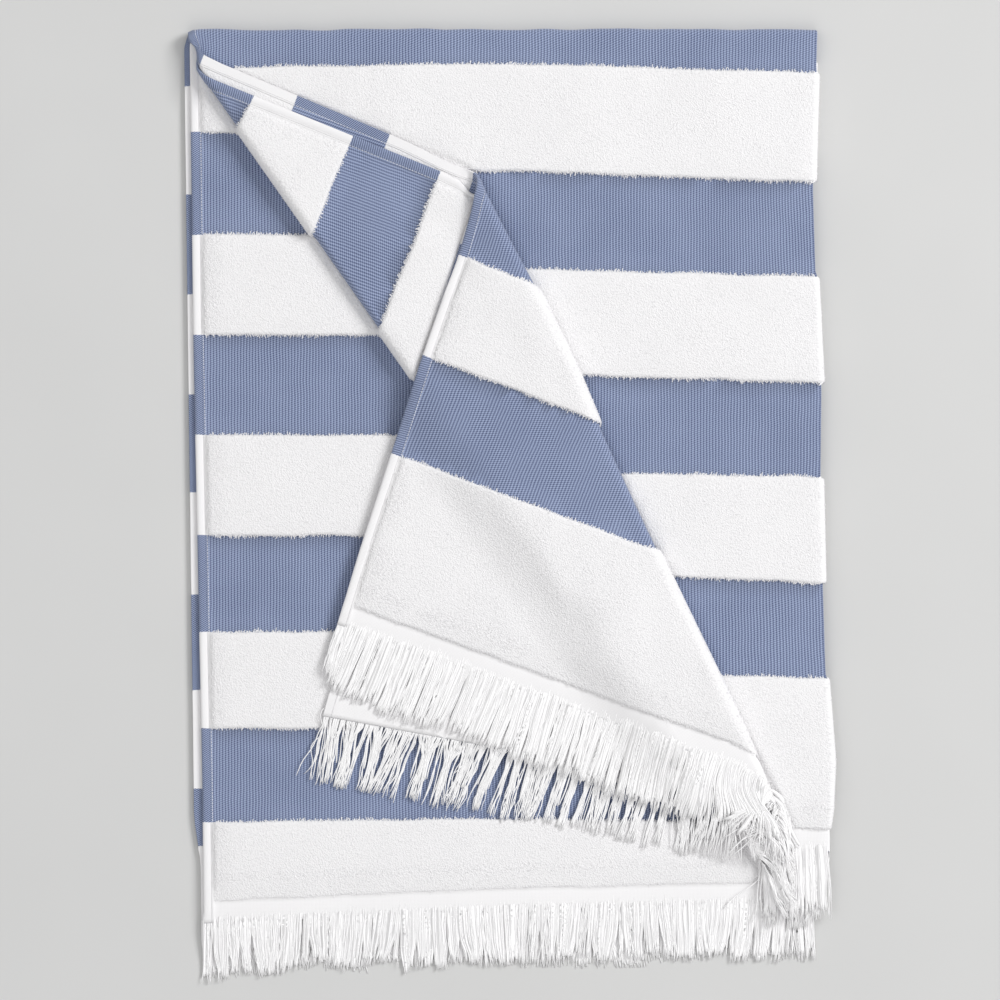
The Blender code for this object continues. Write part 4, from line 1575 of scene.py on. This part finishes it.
        surface = CLOTH / 2 * self.towel.thinning(np.broadcast_to(start, run.shape), centre_y)
        rise = self.heights(rng, run, surface, lock, web, s)
        across, offset = self.corners(rng, (centre_x, rise), run + inset, lock, web, s)
        across, along, offset = across.ravel(), np.repeat(centre_y.ravel(), 4), offset.ravel()

        root, state = self.towel.fold(start, edge, np.zeros_like(start))
        most = [np.repeat(angle.ravel(), 4) for angle in self.bends_at_root(state, run)]
        points, _ = self.towel.fold(across, along, offset, (most[0], most[1]))
        points = self.comb(points.reshape(*run.shape, 4, 3), root, state, run).reshape(-1, 3)
        sunk = (state["angle_2"] >= math.pi) * lock["sink"] * smooth_step(run / self.sink_run)
        above = smooth_step((points[:, 1] - self.sink_end) / self.sink_ease)
        points[:, 2] -= np.repeat(sunk.ravel(), 4) * above
        points[:, 2] = np.maximum(points[:, 2], self.least_height)

        faces = self._tube_faces()
        tone = np.repeat(rng.random(self.yarns), (self.steps + 1) * 4)
        flat = np.stack([across, along], axis=-1)
        obj = new_piece(self.name, points, faces, flat, {"tone": tone}, smooth=False)
        LOG.info("%s: %d yarns, %d triangles", self.name, self.yarns, len(faces))
        return obj

    def _tube_faces(self) -> Array:
        """Two triangles between each pair of neighbours on two rings, and two to close each end of a yarn.

        Returns:
            The corners of every triangle of every yarn, facing outwards.
        """
        ring = np.arange(4)
        following = (ring + 1) % 4
        step = (np.arange(self.steps) * 4)[:, None]
        one, two = step + ring, step + following
        tube = np.stack([one, two, two + 4, one, two + 4, one + 4], axis=-1)
        last = self.steps * 4
        caps = np.array([[2, 1, 0], [3, 2, 0], [last, last + 1, last + 2], [last, last + 2, last + 3]])
        one_yarn = np.concatenate([tube.reshape(-1, 3), caps])
        base = np.arange(self.yarns) * (self.steps + 1) * 4
        faces = (one_yarn[None] + base[:, None, None]).reshape(-1, 3)
        return faces if self.end is End.UPPER else faces[:, ::-1]


@dataclass(frozen=True)
class Socket:
    """A number on its way through a shader's nodes, which adds a Math node for each operation."""

    board: Board
    link: bpy.types.NodeSocket

    def _math(self, operation: str, *values: Socket | float) -> Socket:
        """Add a Math node on these values."""
        return self.board.math(operation, *values)

    def __add__(self, other: Socket | float) -> Socket:
        """Sum."""
        return self._math("ADD", self, other)

    __radd__ = __add__

    def __mul__(self, other: Socket | float) -> Socket:
        """Product."""
        return self._math("MULTIPLY", self, other)

    __rmul__ = __mul__

    def __sub__(self, other: Socket | float) -> Socket:
        """Difference."""
        return self._math("SUBTRACT", self, other)

    def __rsub__(self, other: Socket | float) -> Socket:
        """Difference, the other way round."""
        return self._math("SUBTRACT", other, self)

    def __truediv__(self, other: Socket | float) -> Socket:
        """Quotient."""
        return self._math("DIVIDE", self, other)

    def __rtruediv__(self, other: Socket | float) -> Socket:
        """Quotient, the other way round."""
        return self._math("DIVIDE", other, self)

    def __pow__(self, other: Socket | float) -> Socket:
        """Power."""
        return self._math("POWER", self, other)

    def wave(self) -> Socket:
        """A cosine wave from 0 to 1, with one period to each unit."""
        return 0.5 + 0.5 * self._math("COSINE", self * (2 * math.pi))

    def clip(self) -> Socket:
        """Limited to 0 to 1."""
        return self._math("MAXIMUM", self._math("MINIMUM", self, 1.0), 0.0)


class Board:
    """A material's nodes, with its Principled shader."""

    def __init__(self, name: str) -> None:
        """Start a material.

        Args:
            name: the material's name.
        """
        self.material = bpy.data.materials.new(name)
        self.material.use_nodes = True
        self.tree = self.material.node_tree
        self.shader = next(node for node in self.tree.nodes if node.type == "BSDF_PRINCIPLED")

    def plug(self, entry: bpy.types.NodeSocket, value: object) -> None:
        """Link a socket, or set its value."""
        if isinstance(value, Socket):
            self.tree.links.new(value.link, entry)
        elif isinstance(value, bpy.types.NodeSocket):
            self.tree.links.new(value, entry)
        else:
            entry.default_value = value

    def node(self, kind: str, settings: dict | None = None, **inputs: object) -> bpy.types.Node:
        """Add a node.

        Args:
            kind: its type.
            settings: its settings, set first.
            inputs: a value or link for each input, by name with _ for a space, or i0, i1 and so on by number.

        Returns:
            The node.
        """
        node = self.tree.nodes.new(kind)
        for name, value in (settings or {}).items():
            setattr(node, name, value)
        for name, value in inputs.items():
            key = int(name[1:]) if name[0] == "i" and name[1:].isdigit() else name.replace("_", " ")
            self.plug(node.inputs[key], value)
        return node

    def math(self, operation: str, *values: Socket | float) -> Socket:
        """Add a Math node."""
        inputs = {f"i{number}": value for number, value in enumerate(values)}
        return Socket(self, self.node("ShaderNodeMath", {"operation": operation}, **inputs).outputs[0])

    def number(self, name: str) -> Socket:
        """A number that the mesh carries."""
        return Socket(self, self.node("ShaderNodeAttribute", {"attribute_name": name}).outputs["Fac"])

    def flat_place(self) -> tuple[bpy.types.NodeSocket, Socket, Socket]:
        """The mesh's UV map.

        Returns:
            The flat place as a vector, and its two numbers.
        """
        link = self.node("ShaderNodeUVMap", {"uv_map": "flat"}).outputs["UV"]
        apart = self.node("ShaderNodeSeparateXYZ", None, Vector=link)
        return link, Socket(self, apart.outputs[0]), Socket(self, apart.outputs[1])

    def vector(self, x: Socket | float, y: Socket | float, z: Socket | float = 0.0) -> bpy.types.NodeSocket:
        """Three numbers as one vector."""
        return self.node("ShaderNodeCombineXYZ", None, i0=x, i1=y, i2=z).outputs[0]

    def noise(self, place: bpy.types.NodeSocket, scale: float, detail: float = 2.0) -> Socket:
        """Soft noise about 0.5.

        Args:
            place: where it is wanted.
            scale: how fine it is, for each metre.
            detail: how many finer layers it has.

        Returns:
            The noise.
        """
        settings = {"noise_dimensions": "2D"}
        node = self.node("ShaderNodeTexNoise", settings, Vector=place, Scale=scale, Detail=detail)
        return Socket(self, node.outputs[0])

    def mix(self, share: Socket | float, one: object, two: object) -> bpy.types.NodeSocket:
        """A colour between two.

        Args:
            share: how much of the second.
            one, two: the colours.

        Returns:
            The mixed colour.
        """
        node = self.node("ShaderNodeMix", {"data_type": "RGBA"})
        self.plug(node.inputs[0], share)
        self.plug(node.inputs[6], one)
        self.plug(node.inputs[7], two)
        return node.outputs[2]

    def bump(self, height: Socket, distance: float, strength: float = 1.0) -> bpy.types.NodeSocket:
        """A normal that follows a height of 0 to 1."""
        node = self.node("ShaderNodeBump", None, Strength=strength, Distance=distance, Height=height)
        return node.outputs[0]

    def finish(
        self, colour: object, roughness: Socket | float, normal: bpy.types.NodeSocket, **fixed: float
    ) -> bpy.types.Material:
        """Feed the shader.

        Args:
            colour: its base colour.
            roughness: its roughness.
            normal: its normal.
            fixed: plain values for its other inputs, by name with _ for a space.

        Returns:
            The material.
        """
        self.plug(self.shader.inputs["Base Color"], colour)
        self.plug(self.shader.inputs["Roughness"], roughness)
        self.plug(self.shader.inputs["Normal"], normal)
        for name, value in fixed.items():
            self.plug(self.shader.inputs[name.replace("_", " ")], value)
        return self.material


@dataclass(frozen=True)
class ClothFinish:
    """White terry, blue ribbed weave with slanting stitches, and plain white weave at the ends, with painted
    shade in their grooves and painted light on their ribs and loops.
    """

    white: tuple = (0.925, 0.915, 0.922, 1.0)
    # The duller white is the white in painted shade: between the loops, in the plain weave's grooves and in
    # the seam. It is also the dull end of the white's random tone.
    white_painted_shade_and_tone: tuple = (0.820, 0.812, 0.824, 1.0)
    # The lighter blue is the blue with painted light on the ribs. The very dark blue is the blue in painted
    # shade in the grooves between them.
    blue_in_painted_light: tuple = (0.405, 0.475, 0.672, 1.0)
    blue_in_painted_shade: tuple = (0.038, 0.059, 0.143, 1.0)
    # pitches of the weave, in metres
    rib: float = 0.0024
    stitch: float = 0.0017
    loop: float = 0.0013
    plain_pitch: float = 0.0011
    thread_pitch: float = 0.0027
    # places beside the hem, in millimetres
    hem_edge: float = 8.0
    terry_from: float = 8.2
    seam_at: float = 6.8
    # how fine each unevenness is, for each metre
    ragged_scale: float = 900.0
    drift_scale: float = 40.0
    patch_scale: float = 21.0
    fine_scale: float = 1500.0
    tangle_scale: float = 420.0
    # how sharply one area gives way to the next
    ragged: float = 0.9
    sharp: float = 2.5
    roughness: float = 0.92
    bump_height: float = 0.0006
    bump_strength: float = 0.9

    def material(self) -> bpy.types.Material:
        """Build the cloth's material: its weave follows the flat place, its stripes the mesh's numbers.

        Three masks part the cloth: what is white, what is terry and what is hem. Tone and height are worked
        out for each area as sums of its waves and noises, and mixed by the masks.

        Returns:
            The material.
        """
        board = Board("terry_and_rib_weave")
        place, across, along = board.flat_place()
        white = board.number("white")
        terry = board.number("terry")
        hem = board.number("hem")
        ragged = (board.noise(place, self.ragged_scale, 1.0) - 0.5) * self.ragged
        is_white = ((white + ragged) * self.sharp + 0.5).clip()
        is_terry = ((terry + ragged) * self.sharp + 0.5).clip() * ((hem - self.terry_from) * 2.0).clip()
        on_hem = ((self.hem_edge - hem) * 3.0).clip()

        drift = (board.noise(place, self.drift_scale, 2.0) - 0.5) * 0.5
        columns = across / self.rib + drift
        rows = along / self.stitch + drift * 0.7
        rib = columns.wave()
        stitch = (rows + columns * 0.5).wave()
        hatch = (rows * 1.05 + across / (self.rib * 1.1)).wave()
        weave = (rib * 0.56 + stitch * 0.44) * (1.0 - on_hem) + hatch * on_hem
        patch = board.noise(place, self.patch_scale, 3.0)
        fine = board.noise(place, self.fine_scale, 2.0)
        tone = (weave * 0.92 + (fine - 0.5) * 0.5 + (patch - 0.5) * 0.16 + 0.04).clip()
        # The weave's tone is painted shade in its grooves and painted light on its ribs, with random tone
        # from the noises.
        blue = board.mix(tone, self.blue_in_painted_shade, self.blue_in_painted_light)

        settings = {"voronoi_dimensions": "2D"}
        cells = board.node("ShaderNodeTexVoronoi", settings, Vector=place, Scale=1.0 / self.loop)
        loops = 1.0 - Socket(board, cells.outputs["Distance"])
        tangle = board.noise(place, self.tangle_scale, 3.0)
        # The pile is both the loops' height and their painted shade: lighter on their tops, darker between
        # them.
        pile = loops * 0.6 + tangle * 0.6
        plain = (across / self.plain_pitch).wave() * 0.5 + (along / self.plain_pitch).wave() * 0.5
        # The seam is a groove in the bump, and it also darkens the white there with painted shade.
        seam_groove_and_shade = ((0.5 - board.math("ABSOLUTE", hem - self.seam_at)) * 3.0).clip()
        stitches = ((along / self.thread_pitch).wave() * 1.6).clip()
        thread = ((0.42 - board.math("ABSOLUTE", hem - self.hem_edge)) * 5.0).clip() * stitches
        woven = 0.25 * (1 - on_hem) + (plain - 0.5) * 0.12
        # Whiteness carries the pile's painted shade and the plain weave's, besides random patches and the
        # plain weave's own lightness away from the hem.
        whiteness = 0.55 + (pile - 0.6) * 0.9 * is_terry + (patch - 0.5) * 0.3 + woven * (1 - is_terry)
        chalk = board.mix((whiteness - seam_groove_and_shade * 0.25).clip(), self.white_painted_shade_and_tone, self.white)
        colour = board.mix(is_white, board.mix(thread * 0.55, blue, self.white), chalk)

        flat_height = (weave * 0.55 + fine * 0.2) * (1.0 - is_white) + (plain * 0.12 + fine * 0.12) * is_white
        height = flat_height * (1.0 - is_terry) + (pile * 1.1 + 0.6) * is_terry - seam_groove_and_shade * 0.5
        normal = board.bump(height, self.bump_height, self.bump_strength)
        roughness = self.roughness + (patch - 0.5) * 0.1
        return board.finish(
            colour, roughness, normal, Specular_IOR_Level=0.2, Sheen_Weight=0.25, Sheen_Roughness=0.6
        )


@dataclass(frozen=True)
class YarnFinish:
    """Loose white cotton yarn, twisted, a little uneven in tone, with a little painted shade in the twist's
    grooves.
    """

    white: tuple = (0.985, 0.978, 0.982, 1.0)
    shade: tuple = (0.920, 0.912, 0.922, 1.0)
    twist: float = 0.0018
    ply_width: float = 0.0007
    fuzz_scale: float = 700.0

    def material(self) -> bpy.types.Material:
        """Build the yarn's material.

        Returns:
            The material.
        """
        board = Board("cotton_yarn")
        place, across, along = board.flat_place()
        tone = board.number("tone")
        # The ply is both the twist's bump and a little painted shade in its grooves. Tone and fuzz are random
        # tone.
        ply = (along / self.twist + across / self.ply_width).wave()
        fuzz = board.noise(place, self.fuzz_scale, 2.0)
        share = (0.45 + tone * 0.35 + ply * 0.1 + (fuzz - 0.5) * 0.3).clip()
        colour = board.mix(share, self.shade, self.white)
        roughness = 0.9 + (fuzz - 0.5) * 0.1
        normal = board.bump(ply * 0.5 + fuzz * 0.5, 0.0001, 0.2)
        return board.finish(colour, roughness, normal, Specular_IOR_Level=0.2, Sheen_Weight=0.35)


@dataclass(frozen=True)
class LoopFinish:
    """White cotton loops, each a little different in tone."""

    white: tuple = (0.950, 0.940, 0.948, 1.0)
    shade: tuple = (0.850, 0.842, 0.855, 1.0)
    fuzz_scale: float = 1800.0

    def material(self) -> bpy.types.Material:
        """Build the loops' material.

        Returns:
            The material.
        """
        board = Board("terry_loops")
        place, _, _ = board.flat_place()
        tone = board.number("tone")
        fuzz = board.noise(place, self.fuzz_scale, 1.0)
        colour = board.mix((tone * 0.7 + fuzz * 0.5 - 0.1).clip(), self.shade, self.white)
        roughness = 0.9 + (fuzz - 0.5) * 0.1
        return board.finish(colour, roughness, board.bump(fuzz, 0.0002, 0.5), Specular_IOR_Level=0.2)


@dataclass(frozen=True)
class FloorFinish:
    """A plain pale studio floor."""

    pale: tuple = (0.63, 0.63, 0.625, 1.0)
    paler: tuple = (0.66, 0.66, 0.655, 1.0)

    def material(self) -> bpy.types.Material:
        """Build the floor's material.

        Returns:
            The material.
        """
        board = Board("pale_floor")
        place = board.node("ShaderNodeTexCoord").outputs["Object"]
        cloud = board.noise(place, 6.0, 2.0)
        return board.finish(board.mix(cloud, self.pale, self.paler), 0.85, board.bump(cloud, 0.0001, 0.2))


@dataclass
class Studio:
    """Floor, soft light and the camera straight above."""

    centre: tuple[float, float] = (-0.0070, 0.0040)
    height: float = 6.0
    across_frame: float = 0.800
    sensor: float = 36.0
    floor_size: float = 6.0
    lamps: tuple = (
        # name, x, y, z, size, watts
        ("key", 4.0, 2.2, 3.6, 2.2, 237.0),
        ("fill", -2.4, 0.9, 3.9, 3.6, 38.0),
        ("front", 0.3, -3.0, 3.6, 3.6, 40.0),
    )
    sky: float = 0.38
    far_clip: float = 20.0

    def build(self) -> None:
        """Set up the studio."""
        self._floor()
        self._lights()
        self._camera()
        settings = bpy.context.scene.view_settings
        settings.view_transform = "Standard"
        settings.look = "None"
        LOG.info("studio: %d lamps", len(self.lamps))

    def _floor(self) -> None:
        """One level sheet just under the towel."""
        half = self.floor_size / 2
        corners = np.array([[-half, -half, 0], [half, -half, 0], [half, half, 0], [-half, half, 0]])
        floor = new_piece("floor", corners, np.array([[0, 1, 2, 3]]))
        floor.data.materials.append(FloorFinish().material())

    def _lights(self) -> None:
        """Large soft lamps, each turned to the towel, and an even sky."""
        for name, x, y, z, size, watts in self.lamps:
            data = bpy.data.lights.new(name, "AREA")
            data.size = size
            data.energy = watts
            lamp = bpy.data.objects.new(name, data)
            lamp.location = (x, y, z)
            away = math.hypot(x, y)
            lamp.rotation_euler = (math.atan2(away, z), 0.0, math.atan2(y, x) + math.pi / 2)
            bpy.context.scene.collection.objects.link(lamp)
        world = bpy.data.worlds.new("studio_sky")
        world.use_nodes = True
        backdrop = next(node for node in world.node_tree.nodes if node.type == "BACKGROUND")
        backdrop.inputs["Color"].default_value = (1.0, 1.0, 1.0, 1.0)
        backdrop.inputs["Strength"].default_value = self.sky
        bpy.context.scene.world = world

    def _camera(self) -> None:
        """A long lens straight above, so that the raised layers keep their places."""
        data = bpy.data.cameras.new("overhead")
        data.sensor_width = self.sensor
        data.sensor_fit = "HORIZONTAL"
        data.lens = self.sensor * self.height / self.across_frame
        data.clip_end = self.far_clip
        camera = bpy.data.objects.new("overhead", data)
        camera.location = (*self.centre, self.height)
        bpy.context.scene.collection.objects.link(camera)
        bpy.context.scene.camera = camera


@dataclass
class Dressing:
    """Ties each finished piece to the frame: its body and the node it stands for."""

    body: str = "root"
    pieces: dict[str, bpy.types.Object] = field(default_factory=dict)

    def add(self, piece: bpy.types.Object, material: bpy.types.Material, node: str | None, slot: str) -> None:
        """Give a piece its finish and its place in the frame.

        Args:
            piece: the finished mesh.
            material: its finish.
            node: the CAD node it replaces, if any.
            slot: the record's material slot; not used.
        """
        piece.data.materials.append(material)
        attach(piece, self.body)
        if node:
            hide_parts(node)
        self.pieces[piece.name] = piece
        LOG.info("%s rides on %s", piece.name, self.body)


def main() -> None:
    """Build the towel's pieces in order, then the studio."""
    logging.basicConfig(level=logging.INFO, format="%(name)s: %(message)s")
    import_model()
    towel = Towel()
    dressing = Dressing()
    yarn = YarnFinish().material()
    cloth = Cloth(towel).build()
    dressing.add(cloth, ClothFinish().material(), "cloth", "cloth")
    curtain = Lie(draw=(0.0, 0.16), begin=0.50, at_hem=0.70)
    tied = Lie(
        draw=(0.15, 0.85), begin=0.14, gather=0.30, flare=0.15, web=0.18, web_width=0.0015, web_length=0.75,
        sink=0.0022, wavy=0.0008, lean=0.0022,
    )
    tipped = Lie(draw=(0.0, 0.50), begin=0.55, flare=0.10, lean=0.0014)
    for name, end, length, outer, inner, bunched, seed in (
        ("fringe_upper_end", End.UPPER, 0.053, curtain, tied, 0.02, 11),
        ("fringe_lower_end", End.LOWER, 0.043, tipped, tipped, 0.09, 12),
    ):
        fringe = Fringe(towel, name + "_yarns", end, length, outer, inner, bunched, seed=seed).build()
        dressing.add(fringe, yarn, name, name)
    pile = LoopPile(towel)
    loops = [
        pile.build_field("terry_loops_outer_strip", Strip.OUTER),
        pile.build_field("terry_loops_inner_strip", Strip.INNER),
        pile.build_edges("terry_loops_at_stripe_edges"),
    ]
    for piece in loops:
        dressing.add(piece, LoopFinish().material(), None, "cloth")
    Studio().build()


if __name__ == "__main__":
    main()
